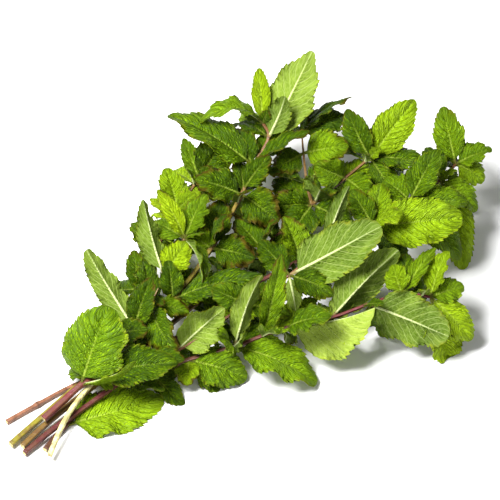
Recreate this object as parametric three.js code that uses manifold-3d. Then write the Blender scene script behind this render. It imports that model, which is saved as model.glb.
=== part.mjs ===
// A gathered bunch of mint: seven cut, leafy stems lying on a flat surface, crossed and pressed
// together where a hand gathered them, bare below and fanned out into foliage above.
//
// Millimetres, +Z up. The origin is on the surface under the gathered stems, +X runs along the
// bunch towards the leafy tips. The stems are laid out on a drawing of the bunch as it looks from
// TILT above the surface: "right" and "up" are measured on that drawing, "height" above the surface.
import * as THREE from 'three';
import { mergeVertices } from 'three/addons/utils/BufferGeometryUtils.js';
import Module from 'manifold-3d';

const wasm = await Module();
wasm.setup();

// Driving dimensions.
const TILT = THREE.MathUtils.degToRad(50); // the drawing's viewing angle above the surface
const HEADING = THREE.MathUtils.degToRad(40); // the bunch's length, turned from the drawing's right
const BLADE = 0.7; // thickness of a leaf blade
const CLEARANCE = 0.35; // least gap between the foliage of two stems
const LOWEST_BLADE = 0.5; // height of a blade's middle where the leaf lies on the surface
const LEAF_BREADTH = 0.6; // width of an unnamed leaf, as a share of its length
const FORWARD_LEAN = 0.35; // how far its upper face leans towards the stem's tip
const TUFT_SPREAD = 38; // degrees between a stem's tip and its smallest leaves
const UNNAMED_BEND = 0.08; // how far its middle is arched, as a share of its length
const UNNAMED_FOLD = 12; // degrees that each half is folded up along the midrib
const TEETH = 3; // on each side, unless a leaf's own number is given
const FEWEST_TEETH = 2; // of the smallest leaves
const MOST_TWIST = THREE.MathUtils.degToRad(28); // of a blade, from its root to its tip
const BELLY = 0.7; // below 1, a blade is widest nearer its petiole than its tip
const POINTED = 0.62; // of a blade's ends: less makes them blunter
const PETIOLE_WIDTH = 2.4; // where the blade begins; it comes to a point inside the stem
const PETIOLE_DEPTH = 0.7; // how much thicker it is there than the blade, in the middle
const PETIOLE_SHARE = 0.1; // part of a leaf's length that is its petiole
const TIP_SINK = 1.5; // how far below a stem's end the leaves of its last node are rooted
const TOOTH_DEPTH = 0.06; // of the half width
const TOOTH_PEAK = 0.72; // where along a tooth its point stands
const SQUARENESS = 0.86; // half a side of the square stem, as a share of its radius
const STEM_TAPER = 0.42; // the radius at the tip, as a share of that at the cut
const RINGS_PER_INTERNODE = 2;
const NODE_SWELLING = 1.18;
const LEAF_COLOUR = 0x5d8a1c;
const SURFACE_SIDE = 900;
const SURFACE_DEPTH = 100;
const SAME_POINT = 1e-4; // distance between corners that are taken as one
const TOUCH = 1e-6; // volume that two solids may share and still be clear of each other

// Leaves that would meet another stem's foliage swing aside a little further on each try.
const TRIES = 60;
const WIDEST_SWING = THREE.MathUtils.degToRad(48);
const MOST_SHRINKAGE = 0.3;
const FREE_ROW = 1; // from this row of a leaf on, it keeps clear of its own stem's leaves too

// Leaves of the short shoots in the leaf axils unfold where the bunch still lets light through.
const LIGHT_CELL = 2; // side of the squares in which light is counted on the drawing
const LEAST_LIGHT = 0.32; // part of a new leaf's outline that has to be in the light
const LEAST_INSIDE = 0.9; // part of it that has to be inside the bunch's outline
const MOST_COVERING = 0.2; // part of it that may hide the leaves laid out by hand
const SHOOTS_PER_STEM = 26;
const SHOOT_TRIES = 110;
const LONGEST_AXIL_LEAF = 36;
const SHORTEST_AXIL_LEAF = 13;
const SMALL_LEAF = 22; // length below which an axil leaf has fewer teeth
const AXIL_LENGTH_RANGE = 0.15; // of its length, to either side
const NARROWEST_AXIL = 25; // degrees between the stem and the leaf
const WIDEST_AXIL = 95;
const SKYWARD = 0.3; // how much further than a pair's leaf it turns to the sky
const AXIL_REACH = 0.2; // how far along its internode a short shoot may carry a leaf
const LAST_AXIL = 0.97; // of the stem's length
const FIRST_AXIL = 3; // the lowest node that bears them

// ---- The layout's words ----

const RIGHT = new THREE.Vector3(1, 0, 0);
const UP = new THREE.Vector3(0, Math.sin(TILT), Math.cos(TILT));
const NEAR = new THREE.Vector3(0, -Math.cos(TILT), Math.sin(TILT));

// A direction or an offset given as right, up and towards the viewer of the drawing.
const offset = ([right, up, near]) => new THREE.Vector3()
  .addScaledVector(RIGHT, right).addScaledVector(UP, up).addScaledVector(NEAR, near);

// A point given by where it is seen on the drawing and how high it stands.
const place = ([right, up, height]) =>
  new THREE.Vector3(right, (up - height * Math.cos(TILT)) / Math.sin(TILT), height);

const stem = (name, radius, ...nodes) => ({ name, radius, nodes });
const node = (at, ...grown) => ({ at: place(at), grown });
const shoot = (radius, ...nodes) => ({ kind: 'shoot', radius, nodes });
const leaf = (reach, width, facing, bend = 0.06, fold = 14, teeth = TEETH, pointed = POINTED) =>
  ({ kind: 'leaf', reach, width, facing, bend, fold, teeth, pointed });
// A leaf that fills what the others leave open, so it takes its place after them.
const under = (...given) => ({ ...leaf(...given), filler: true, late: true });
const pair = (length, turn, spread = 58) => ({ kind: 'pair', length, turn, spread });
const tuft = (length, turn) => ({ kind: 'tuft', length, turn });

// ---- The layout: seven stems, each from its cut end to its tip ----

const STEMS = [
  stem('pale_stem', 1.8,
    node([-21, -30, 6]),
    node([-13, -11, 9.8]),
    node([-4, 3, 11.8]),
    node([17, 28, 14.6]),
    node([28, 43, 21],
      leaf([-29, 47, 2], 18, [-0.3, 0.1, -1], 0.03, 20, 3, 0.5),
      leaf([10, 31, 8], 17, [-0.3, 0, 1], 0.1)),
    node([37, 58, 27],
      leaf([16, -30, 12], 22, [-0.2, -0.3, 1], 0.14),
      leaf([-4, 26, -8], 18, [0.3, 0, 1])),
    node([45, 75, 34],
      leaf([-12, 45, 5], 18, [-0.5, 0, -1], 0.06, 30),
      leaf([14, 20, -7], 18, [0, 0.2, 1])),
    node([58, 98, 42],
      leaf([-16, 29, 6], 11, [0.3, 0.2, 1], 0.1),
      leaf([-8, -36, 16], 17, [0.4, 0.2, 1], 0.12, 28),
      leaf([12, 27, -3], 16, [-0.3, 0, 1]),
      leaf([-22, 12, -8], 15, [0, 0.3, 1], 0.1),
      tuft(13, 20))),

  stem('purple_stem', 2.2,
    node([-25, -9, 10]),
    node([-14, 1, 13]),
    node([-3, 11, 16.5],
      leaf([16, 46, 4], 38, [-0.45, -0.1, 1], 0.05, 10, 6, 0.5),
      leaf([30, 15, 21], 10, [0.2, -1, 0.3], 0.05, 30, 4)),
    node([5, 17, 17.5],
      leaf([49, 8, 8], 26, [0, 0.35, 1], 0.07, 12, 5)),
    node([16, 40, 19],
      pair(28, 20)),
    node([30, 66, 22],
      leaf([-3, 24, -6], 13, [0, 0.2, 1], 0.08, 14, 3),
      leaf([6, 33, -8], 14, [0.2, 0.2, 1], 0.08, 14, 3)),
    node([38, 86, 27],
      under([4, 30, -22], 16, [0, 0.2, 1], 0.06),
      pair(26, 0)),
    node([53, 113, 35],
      leaf([-7, 26, 0], 18, [0.2, 0, 1], 0.1),
      leaf([14, 19, -4], 18, [0, 0, 1]),
      pair(24, 70)),
    node([66, 134, 42],
      leaf([14, 22, -8], 26, [0.3, 0, 1], 0.05),
      leaf([-9, 24, -9], 11, [0, 0.2, 1], 0.05, 14, 3),
      leaf([18, -14, 9], 17, [0.2, 0.4, 1]),
      leaf([-6, -22, -38], 20, [-0.4, 1, 0.3], 0.05),
      tuft(14, 50))),

  stem('olive_stem', 2.1,
    node([-44, -24, 3.2]),
    node([-27, -9, 4.8]),
    node([-4, 11, 7]),
    node([24, 34, 12],
      pair(26, 40)),
    node([50, 60, 23],
      leaf([54, 24, 17], 25, [-0.1, 0.5, 0.8], 0.08, 14, 5),
      leaf([-6, 24, 2], 15, [0.2, 0.2, 1], 0.08)),
    node([73, 91, 31],
      leaf([26, -6, 6], 22, [0, 0.4, 1], 0.1),
      leaf([-16, 12, 8], 17, [-0.2, 0.3, 1], 0.1),
      under([6, 29, -16], 19, [0, 0.2, 1], 0.06),
      pair(26, 80)),
    node([91, 123, 39],
      leaf([-28, 10, 4], 22, [0.2, 0.3, 1], 0.1),
      leaf([22, -16, 6], 24, [0, 0.3, 1], 0.1),
      leaf([8, -22, -36], 22, [-0.3, 1, 0.3], 0.05)),
    node([98, 140, 45],
      leaf([-51, 31, -2], 26, [0.1, 0.5, 0.8], 0.1, 14, 5, 0.45),
      leaf([34, 21, 4], 15, [-0.3, 0.9, 0.4], 0.06, 26),
      leaf([-26, 14, -9], 19, [0, 0.3, 1], 0.1),
      under([28, 15, -26], 17, [0, 0.2, 1], 0.06)),
    node([107, 157, 52],
      leaf([27, 52, -2], 31, [0.2, 0.1, -1], 0.03, 8, 6, 0.7),
      leaf([17, 26, 2], 15, [0.3, -0.3, -1], 0.08),
      leaf([-30, 4, -8], 17, [0.1, 0.4, 1], 0.15),
      under([-15, 25, -26], 16, [0, 0.2, 1], 0.06)),
    node([103, 167, 57],
      leaf([-37, 2, 11], 18, [0.1, 0.9, 0.5], 0.25),
      leaf([-2, 34, -12], 12, [0, 0.1, 1], 0.06, 16),
      tuft(12, 10))),

  stem('brown_stem', 2.0,
    node([-37, -25, 3.2]),
    node([-21, -10, 4.8]),
    node([-1, 6, 7]),
    node([30, 30, 12],
      pair(26, 10)),
    node([66, 60, 17],
      leaf([-14, 20, -10], 18, [0.2, 0.2, 1], 0.1),
      leaf([26, -8, 2], 18, [0, 0.3, 1], 0.1)),
    node([103, 90, 23],
      leaf([-16, 18, -6], 18, [0.3, 0.2, 1], 0.1),
      leaf([34, -2, 2], 20, [0, 0.3, 1], 0.1),
      pair(26, 80)),
    node([133, 117, 29],
      shoot(1.2,
        node([130, 130, 36],
          pair(24, 0)),
        node([128, 148, 41],
          leaf([27, 4, 10], 24, [0, 0.2, 1], 0.12),
          leaf([-18, -10, 6], 17, [0.2, 0.2, 1], 0.1)),
        node([127, 162, 44],
          leaf([31, 21, 2], 13, [-0.4, 0.7, 0.5], 0.1, 22),
          leaf([27, 13, -7], 22, [0, 0.3, 1], 0.08),
          leaf([24, -4, -4], 20, [0, 0.3, 1], 0.1),
          tuft(13, 30))),
      leaf([-14, -20, 12], 22, [0, 0.2, 1], 0.12),
      leaf([-28, -2, 9], 21, [0, 0.3, 1], 0.12),
      leaf([26, -10, 6], 22, [0, 0.3, 1], 0.1),
      under([-24, 16, -12], 20, [0.1, 0.2, 1], 0.06)),
    node([153, 133, 36],
      leaf([16, -14, 9], 20, [0.2, 0.2, 1], 0.12),
      leaf([-16, 14, 6], 20, [-0.2, 0.2, 1], 0.12),
      leaf([10, -18, -34], 22, [0, 1, 0.3], 0.05)),
    node([169, 146, 42],
      leaf([27, 35, -2], 23, [0.2, 0.3, 1], 0.05, 12, 5),
      leaf([-13, 30, -2], 18, [-0.1, 0.1, 1], 0.08),
      leaf([36, -3, 2], 19, [0, 0.6, 0.8], 0.08),
      leaf([28, 11, -8], 17, [0, 0.3, 1], 0.08, 14, 3),
      leaf([14, -22, -2], 17, [0, 0.3, 1], 0.1),
      under([20, -8, -18], 17, [0, 0.3, 1], 0.06),
      tuft(13, 70))),

  stem('dark_purple_stem', 1.8,
    node([-36, -29, 2.6]),
    node([-18, -14, 5]),
    node([4, 1, 7]),
    node([36, 25, 13.5],
      pair(26, 20)),
    node([78, 57, 21],
      leaf([-16, 18, 2], 17, [0.3, 0.2, 1], 0.1),
      leaf([30, -4, 2], 18, [0, 0.3, 1], 0.1)),
    node([126, 84, 31],
      leaf([24, -10, -6], 17, [0, 0.4, 0.9], 0.1),
      leaf([-10, 26, 4], 20, [0.2, 0.2, 1], 0.1),
      pair(26, 30)),
    node([169, 104, 44],
      leaf([53, 5, 4], 30, [0, 0.1, 1], 0.06, 8, 6, 0.45),
      leaf([-13, 22, -4], 16, [0, 0.2, 1], 0.08),
      leaf([5, 30, -8], 17, [0, 0.2, 1], 0.08),
      leaf([20, -20, -6], 20, [0, 0.3, 1], 0.1),
      pair(26, 60)),
    node([191, 119, 44],
      leaf([17, 31, 1], 19, [-0.4, 0, 1], 0.05, 12, 5),
      leaf([-14, 19, -4], 20, [0, 0.2, 1], 0.12),
      leaf([31, -34, -6], 22, [0, 0.3, 1], 0.1),
      leaf([36, -10, -8], 19, [0, 0.3, 1], 0.1)),
    node([210, 132, 41],
      leaf([22, -18, 2], 18, [0.2, 0.3, 1], 0.12),
      leaf([14, -54, -6], 24, [0.2, 0.2, 1], 0.06),
      leaf([8, -20, -38], 22, [0.3, 1, 0.3], 0.05),
      leaf([-8, 20, -6], 16, [0, 0.2, 1], 0.1)),
    node([220, 142, 38],
      leaf([-8, 35, -4], 19, [0, 0, 1], 0.05),
      leaf([22, 9, 0], 17, [0, 0.5, 0.8], 0.1),
      leaf([17, -10, 3], 16, [0.2, 0.5, 1], 0.1),
      tuft(13, 0))),

  stem('thin_stem', 1.5,
    node([-47, -11, 1.9]),
    node([-29, -1, 1.9]),
    node([-8, 10, 1.9]),
    node([22, 21, 4.4]),
    node([53, 31, 12.5],
      leaf([34, 17, 14], 28, [0, 0.5, -1], 0.05, -24, 5)),
    node([69, 41, 20],
      pair(24, 60)),
    node([94, 58, 31],
      leaf([-22, 14, 2], 17, [0.2, 0.2, 1], 0.1),
      leaf([26, -6, 0], 15, [0, 0.3, 1], 0.1)),
    node([119, 75, 42],
      leaf([54, 29, 8], 31, [0.1, -0.1, -1], 0.05, 10, 6, 0.45),
      leaf([26, -12, 0], 17, [0, 0.6, 0.8], 0.1),
      leaf([4, -21, 5], 11, [0.3, 0, -1], 0.05, 20, 3),
      leaf([-18, 20, -2], 18, [0.2, 0.2, 1], 0.1)),
    node([142, 94, 48],
      leaf([13, 35, 2], 12, [-0.3, 0, -1], 0.05, 16),
      leaf([-20, 12, -4], 17, [0.2, 0.2, 1], 0.1),
      tuft(14, 45))),

  stem('low_stem', 1.8,
    node([-24, -27, 1.5]),
    node([-12, -13, 1.5],
      leaf([58, 20, -17], 34, [0, 0.84, 1], 0.04, 8, 5, 0.5)),
    node([0, 1.5 * Math.cos(TILT), 1.5]),
    node([18, 8, 3]),
    node([38, 17, 6],
      leaf([19, -20, 6], 14, [0.4, 0.2, 1], 0.05, 20, 3)),
    node([60, 25, 10],
      leaf([36, -6, 2], 24, [0, 0.4, 0.8], 0.08),
      leaf([20, -21, 0], 12, [-0.3, 0.2, 1], 0.05, 22, 3),
      under([3, -18, 4], 15, [0, 0.2, 1], 0.05)),
    node([87, 33, 16],
      leaf([49, -20, 4], 27, [0.3, 0.5, 1], 0.1, 14, 5, 0.5),
      leaf([17, 44, 20], 16, [-0.6, 0, -1], 0.06, 20)),
    node([103, 39, 21],
      leaf([4, 54, 14], 15, [0.2, 0.2, 1], 0.05, 18, 4),
      under([33, 22, -14], 16, [0, 0.2, 1], 0.06)),
    node([117, 44, 24],
      leaf([53, 10, 10], 46, [0, -0.76, -0.65], 0.04, 54, 6, 0.66)),
    node([144, 50, 28],
      leaf([39, 40, -8], 28, [-0.4, 0.3, -0.9], 0.04, 20, 5, 0.6),
      leaf([12, 14, -8], 14, [0, 0.3, -1], 0.06),
      under([38, -9, -22], 16, [0, 0.3, 1], 0.04)),
    node([166, 58, 34],
      leaf([47, -19, 4], 31, [0, 0.2, -1], 0.07, 10, 6, 0.42),
      leaf([12, -25, -14], 21, [-0.2, 0.3, 1], 0.06)),
    node([186, 64, 34],
      leaf([19, 28, -4], 11, [-0.3, 0, 1], 0.08),
      under([-12, -28, -20], 18, [0, 0.2, 1], 0.04),
      under([2, 26, -12], 15, [0, 0.2, 1], 0.06),
      leaf([-12, 18, -6], 16, [0, 0.3, 1], 0.08),
      pair(22, 40)),
    node([204, 62, 32],
      leaf([7, 30, 1], 16, [-0.5, 0, 1], 0.05, 18),
      leaf([10, -43, -14], 24, [0.2, 0.2, 1], 0.1, 14, 4, 0.5),
      leaf([23, -27, -6], 19, [0.2, 0.3, 1], 0.1),
      leaf([20, 7, -2], 16, [0, 0.4, 1], 0.1),
      leaf([25, -10, -4], 18, [0.3, 0.3, 1], 0.1),
      tuft(13, 30))),
];

// The whole bunch's outline on the drawing, clockwise from the gathered stems.
const OUTLINE = [
  [-8, 10], [-15, 28], [0, 52], [14, 56], [-2, 88], [8, 86], [24, 80], [28, 100], [34, 122], [52, 138],
  [64, 150], [46, 170], [60, 172], [80, 180], [96, 184], [100, 200], [112, 192], [134, 208], [134, 182],
  [158, 184], [164, 174], [176, 182], [196, 180], [202, 158], [214, 174], [228, 164], [242, 148],
  [230, 120], [222, 84], [226, 70], [222, 30], [210, 22], [198, 40], [176, 40], [146, 27], [124, 32],
  [136, 14], [98, 24], [84, 8], [54, -4], [48, 10], [8, -15], [-4, -6],
];

// ---- Chance: the same numbers on every run ----

const dice = (seed) => () => {
  seed = (seed + 0x6d2b79f5) >>> 0;
  let mixed = Math.imul(seed ^ (seed >>> 15), 1 | seed);
  mixed = (mixed + Math.imul(mixed ^ (mixed >>> 7), 61 | mixed)) ^ mixed;
  return ((mixed ^ (mixed >>> 14)) >>> 0) / 2 ** 32;
};

// ---- Stems ----

const routeOf = (nodes) =>
  new THREE.CatmullRomCurve3(nodes.map((one) => one.at), false, 'catmullrom', 0.5);

// The square stem, thinner towards the tip and a little swollen at each leaf node.
function stemSolid(nodes, radius) {
  const route = routeOf(nodes);
  const rings = (nodes.length - 1) * RINGS_PER_INTERNODE;
  const corners = [[1, 1], [-1, 1], [-1, -1], [1, -1]];
  const count = corners.length;
  const points = [];
  const triangles = [];
  for (let ring = 0; ring <= rings; ring++) {
    const share = ring / rings;
    const atNode = ring % RINGS_PER_INTERNODE === 0 && ring > 0 && ring < rings;
    const size = radius * SQUARENESS * (1 - (1 - STEM_TAPER) * share) * (atNode ? NODE_SWELLING : 1);
    const ahead = route.getTangent(share);
    const side = new THREE.Vector3().crossVectors(ahead, new THREE.Vector3(0, 0, 1)).normalize();
    const over = new THREE.Vector3().crossVectors(side, ahead);
    for (const [across, along] of corners)
      points.push(route.getPoint(share).addScaledVector(side, across * size)
        .addScaledVector(over, along * size));
  }
  for (let ring = 0; ring < rings; ring++)
    for (let corner = 0; corner < count; corner++) {
      const a = ring * count + corner;
      const b = ring * count + (corner + 1) % count;
      triangles.push([a, a + count, b], [b, a + count, b + count]);
    }
  const last = rings * count;
  triangles.push([0, 1, 2], [0, 2, 3], [last, last + 2, last + 1], [last, last + 3, last + 2]);
  return solidFrom(points, triangles);
}

// ---- Leaves ----

// The half width of a blade at a share of its length, before its teeth.
const halfWidth = (share, { width, pointed }) =>
  width / 2 * Math.sin(Math.PI * share ** BELLY) ** pointed;

// A leaf's crossways rows, from the petiole's root to the tip: how far along the leaf each one is,
// its half width there, and the point of the tooth that stands between it and the next row.
function leafRows(grown) {
  const { teeth } = grown;
  const along = (share) => PETIOLE_SHARE + (1 - PETIOLE_SHARE) * share;
  const rows = [{ share: 0, half: 0, root: true }];
  for (let tooth = 0; tooth < teeth; tooth++) {
    const notch = tooth / teeth;
    const peak = (tooth + TOOTH_PEAK) / teeth;
    const half = tooth > 0 ? halfWidth(notch, grown) * (1 - TOOTH_DEPTH) : PETIOLE_WIDTH / 2;
    const point = { share: along(peak), half: halfWidth(peak, grown) * (1 + TOOTH_DEPTH) };
    rows.push({ share: along(notch), half, point, petiole: tooth === 0 });
  }
  rows.push({ share: 1, half: 0 });
  return rows;
}

// A point of the blade's middle surface: how far along the leaf, and how many millimetres across.
function bladePoint({ base, reach, facing, bend, fold, twist }, share, across) {
  const length = reach.length();
  const ahead = reach.clone().normalize();
  const upright = facing.clone().addScaledVector(ahead, -facing.dot(ahead)).normalize();
  const over = upright.clone().applyAxisAngle(ahead, twist * share);
  const side = new THREE.Vector3().crossVectors(ahead, over);
  const slope = THREE.MathUtils.degToRad(fold);
  const point = base.clone().addScaledVector(reach, share)
    .addScaledVector(upright, bend * length * 4 * share * (1 - share))
    .addScaledVector(side, across * Math.cos(slope))
    .addScaledVector(over, Math.abs(across) * Math.sin(slope));
  point.z = Math.max(point.z, LOWEST_BLADE);
  return { point, over };
}

// The leaf as a thin closed solid, from one of its rows to the tip.
function leafSolid(grown, thickness, firstRow = 0) {
  const rows = leafRows(grown).slice(firstRow);
  const points = [];
  const triangles = [];
  // The corners on the two faces, or one corner for both where the leaf is pinched to no thickness.
  const put = (share, across, deep) => {
    const { point, over } = bladePoint(grown, share, across);
    const faces = deep > 0 ? [1, -1] : [0];
    const made = faces.map((face) =>
      points.push(point.clone().addScaledVector(over, face * deep / 2)) - 1);
    return [made[0], made[made.length - 1]];
  };
  // A polygon's triangles, as a fan from its first corner.
  const fan = (corners, turned) => {
    for (let k = 1; k < corners.length - 1; k++) {
      const three = [corners[0], corners[k], corners[k + 1]];
      if (new Set(three).size === 3) triangles.push(turned ? three.reverse() : three);
    }
  };
  const depth = ({ root, petiole }) => (root ? 0 : thickness + (petiole ? PETIOLE_DEPTH : 0));
  const rib = rows.map((row) => put(row.share, 0, depth(row)));
  for (const side of [1, -1]) {
    const rim = rows.map(({ share, half, petiole }, row) =>
      (half > 0 ? put(share, side * half, petiole ? 0 : thickness) : rib[row]));
    const wall = (one, other) => fan([one[0], one[1], other[1], other[0]], side < 0);
    if (rim[0] !== rib[0]) wall(rib[0], rim[0]);
    for (let row = 0; row < rows.length - 1; row++) {
      const { point } = rows[row];
      const edge = point ? [rim[row], put(point.share, side * point.half, thickness)] : [rim[row]];
      edge.push(rim[row + 1]);
      const loop = [...new Set([rib[row], ...edge, rib[row + 1]])];
      fan(loop.map((corner) => corner[0]), side < 0);
      fan(loop.map((corner) => corner[1]), side > 0);
      for (let k = 0; k < edge.length - 1; k++) wall(edge[k], edge[k + 1]);
    }
  }
  return solidFrom(points, triangles);
}

// ---- Growth: what each node of a stem bears ----

// Two leaves on opposite sides of a stem, their upper faces to the sky and a little to its tip.
function leafPair(base, ahead, { length, turn, spread }, teeth = TEETH) {
  const sky = new THREE.Vector3(0, 0, 1);
  const side = new THREE.Vector3().crossVectors(ahead, sky).normalize();
  const over = new THREE.Vector3().crossVectors(side, ahead);
  const open = THREE.MathUtils.degToRad(spread);
  return [0, 180].map((opposite) => {
    const angle = THREE.MathUtils.degToRad(turn + opposite);
    const out = side.clone().multiplyScalar(Math.cos(angle))
      .addScaledVector(over, Math.sin(angle));
    const reach = ahead.clone().multiplyScalar(Math.cos(open))
      .addScaledVector(out, Math.sin(open)).multiplyScalar(length);
    const facing = sky.clone().addScaledVector(ahead, FORWARD_LEAN);
    const width = length * LEAF_BREADTH;
    const [bend, fold] = [UNNAMED_BEND, UNNAMED_FOLD];
    return { base, reach, facing, width, bend, fold, teeth, pointed: POINTED };
  });
}

// Every leaf of a stem, side shoots included, and the wooden parts they grow from.
function grow({ nodes, radius }, leaves, wood) {
  wood.push(stemSolid(nodes, radius));
  const route = routeOf(nodes);
  nodes.forEach(({ at, grown }, index) => {
    const ahead = route.getTangent(index / (nodes.length - 1));
    const sink = index === nodes.length - 1 ? TIP_SINK : 0;
    const base = at.clone().addScaledVector(ahead, -sink);
    for (const one of grown) {
      if (one.kind === 'leaf')
        leaves.push({ ...one, base, reach: offset(one.reach), facing: offset(one.facing) });
      if (one.kind === 'pair')
        leaves.push(...leafPair(base, ahead, one).map((leafOne) => ({ ...leafOne, filler: true })));
      if (one.kind === 'tuft')
        leaves.push(...leafPair(base, ahead, { ...one, spread: TUFT_SPREAD }, FEWEST_TEETH)
          .map((leafOne) => ({ ...leafOne, filler: true })));
      if (one.kind === 'shoot')
        grow({ nodes: [{ at, grown: [] }, ...one.nodes], radius: one.radius }, leaves, wood);
    }
  });
}

// The same leaf, swung about its base and made a little smaller, more so with each try.
function swung(grown, attempt, roll) {
  if (attempt === 0) return grown;
  const share = attempt / TRIES;
  const axis = new THREE.Vector3(roll() - 0.5, roll() - 0.5, roll() - 0.5).normalize();
  const angle = WIDEST_SWING * share * (0.5 + roll() / 2);
  const reach = grown.reach.clone().applyAxisAngle(axis, angle)
    .multiplyScalar(1 - MOST_SHRINKAGE * share * roll());
  const twist = WIDEST_SWING * share * (roll() * 2 - 1);
  const facing = grown.facing.clone().applyAxisAngle(axis, angle)
    .applyAxisAngle(reach.clone().normalize(), twist);
  return { ...grown, reach, facing };
}

// ---- Light: what the drawing still shows between the leaves ----

const drawn = ({ x, y, z }) => [x, y * Math.sin(TILT) + z * Math.cos(TILT)];

function inside([right, up], outline) {
  let odd = false;
  outline.forEach(([x, y], k) => {
    const [lastX, lastY] = outline[(k + outline.length - 1) % outline.length];
    if (y > up !== lastY > up && right < x + (up - y) / (lastY - y) * (lastX - x)) odd = !odd;
  });
  return odd;
}

// The squares of the drawing that a leaf's two halves cover.
function cellsUnder(grown) {
  const at = (share, across) => drawn(bladePoint(grown, share, across).point);
  const edge = leafRows(grown).flatMap((row) => (row.point ? [row, row.point] : [row]));
  const cells = new Map();
  for (const side of [1, -1]) {
    const rim = edge.map(({ share, half }) => at(share, side * half));
    const outline = [...rim, ...edge.map(({ share }) => at(share, 0)).reverse()];
    const [low, high] = [Math.min, Math.max].map((most) =>
      [0, 1].map((k) => Math.floor(most(...outline.map((corner) => corner[k])) / LIGHT_CELL)));
    for (let column = low[0]; column <= high[0]; column++)
      for (let row = low[1]; row <= high[1]; row++) {
        const middle = [(column + 0.5) * LIGHT_CELL, (row + 0.5) * LIGHT_CELL];
        if (inside(middle, outline)) cells.set(`${column},${row}`, middle);
      }
  }
  return [...cells].map(([key, middle]) => ({ key, middle }));
}

// How near the viewer the middle of a leaf is.
const nearness = (grown) => bladePoint(grown, 0.5, 0).point.dot(NEAR);

const shaded = new Set();
const laidOut = new Map();

function shade(grown) {
  for (const { key } of cellsUnder(grown)) {
    shaded.add(key);
    if (!grown.filler) laidOut.set(key, Math.max(nearness(grown), laidOut.get(key) ?? -Infinity));
  }
}

function inTheLight(grown) {
  const cells = cellsUnder(grown);
  const within = cells.filter(({ middle }) => inside(middle, OUTLINE));
  const lit = within.filter(({ key }) => !shaded.has(key));
  const covering = cells.filter(({ key }) => laidOut.get(key) < nearness(grown));
  return within.length > LEAST_INSIDE * cells.length && lit.length > LEAST_LIGHT * cells.length
    && covering.length < MOST_COVERING * cells.length;
}

// A leaf of a short shoot at one of the stem's nodes, smaller with each try.
function sprouted(nodes, attempt, roll) {
  const spans = nodes.length - 1;
  const from = FIRST_AXIL + Math.floor(roll() * (spans - FIRST_AXIL + 1));
  const at = Math.min((from + AXIL_REACH * (roll() * 2 - 1)) / spans, LAST_AXIL);
  const route = routeOf(nodes);
  const length = THREE.MathUtils.lerp(LONGEST_AXIL_LEAF, SHORTEST_AXIL_LEAF, attempt / SHOOT_TRIES)
    * (1 + AXIL_LENGTH_RANGE * (roll() * 2 - 1));
  const turn = 360 * roll();
  const spread = THREE.MathUtils.lerp(NARROWEST_AXIL, WIDEST_AXIL, roll());
  const teeth = length < SMALL_LEAF ? FEWEST_TEETH : TEETH;
  const [grown] = leafPair(route.getPoint(at), route.getTangent(at), { length, turn, spread }, teeth);
  const facing = grown.facing.add(offset([roll() - 0.5, roll() - 0.5, SKYWARD]));
  return { ...grown, facing, twist: MOST_TWIST * (roll() * 2 - 1), filler: true };
}

// ---- Solids ----

function solidFrom(points, triangles) {
  const geometry = new THREE.BufferGeometry().setFromPoints(points);
  geometry.setIndex(triangles.flat());
  const merged = mergeVertices(geometry, SAME_POINT);
  return new wasm.Manifold(new wasm.Mesh({
    numProp: 3,
    vertProperties: merged.attributes.position.array,
    triVerts: new Uint32Array(merged.index.array),
  }));
}

function boxesMeet(a, b) {
  const [one, other] = [a.boundingBox(), b.boundingBox()];
  return [0, 1, 2].every((k) => one.min[k] <= other.max[k] && other.min[k] <= one.max[k]);
}

// A union's main body alone, with any hollow sealed inside it filled and any loose scrap dropped.
function outerBody(solid) {
  return solid.decompose().reduce((most, one) => (one.volume() > most.volume() ? one : most));
}

const solidsMeet = (a, b) => boxesMeet(a, b) && a.intersect(b).volume() > TOUCH;

// Puts a leaf on its stem if it is clear of the other stems and of its own stem's leaves.
function settle(owner, tried) {
  const wide = leafSolid(tried, BLADE + 2 * CLEARANCE);
  const free = leafSolid(tried, BLADE + CLEARANCE, FREE_ROW);
  const blocked = bunch.some((other) => (other === owner
    ? other.free.some((one) => solidsMeet(free, one))
    : [...other.wood, ...other.placed].some((one) => solidsMeet(wide, one))));
  if (blocked) return false;
  owner.placed.push(leafSolid(tried, BLADE));
  owner.free.push(leafSolid(tried, BLADE, FREE_ROW));
  shade(tried);
  return true;
}

const bunch = STEMS.map((one) => {
  const leaves = [];
  const wood = [];
  grow(one, leaves, wood);
  return { ...one, leaves, wood, placed: [], free: [] };
});

// Leaves laid out one by one take their places first, then pairs and tufts, then the late ones.
let seed = 0;
const numbered = (late) => bunch.flatMap((owner) => owner.leaves
  .filter((grown) => Boolean(grown.late) === late)
  .map((grown) => ({ owner, grown, seed: ++seed })));
const early = numbered(false).sort((a, b) => (a.grown.filler ? 1 : 0) - (b.grown.filler ? 1 : 0));
const waiting = [...early, ...numbered(true)];
for (const { owner, grown: sketched, seed: own } of waiting) {
  const roll = dice(own);
  const grown = { ...sketched, twist: MOST_TWIST * (roll() * 2 - 1) };
  let done = false;
  for (let attempt = 0; attempt <= TRIES && !done; attempt++)
    done = settle(owner, swung(grown, attempt, roll));
}

// Then the leaves of the short shoots, stem by stem in turn.
for (let turn = 0; turn < SHOOTS_PER_STEM; turn++)
  for (const owner of bunch) {
    const roll = dice(++seed);
    let done = false;
    for (let attempt = 0; attempt <= SHOOT_TRIES && !done; attempt++) {
      const tried = sprouted(owner.nodes, attempt, roll);
      done = inTheLight(tried) && settle(owner, tried);
    }
  }

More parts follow.
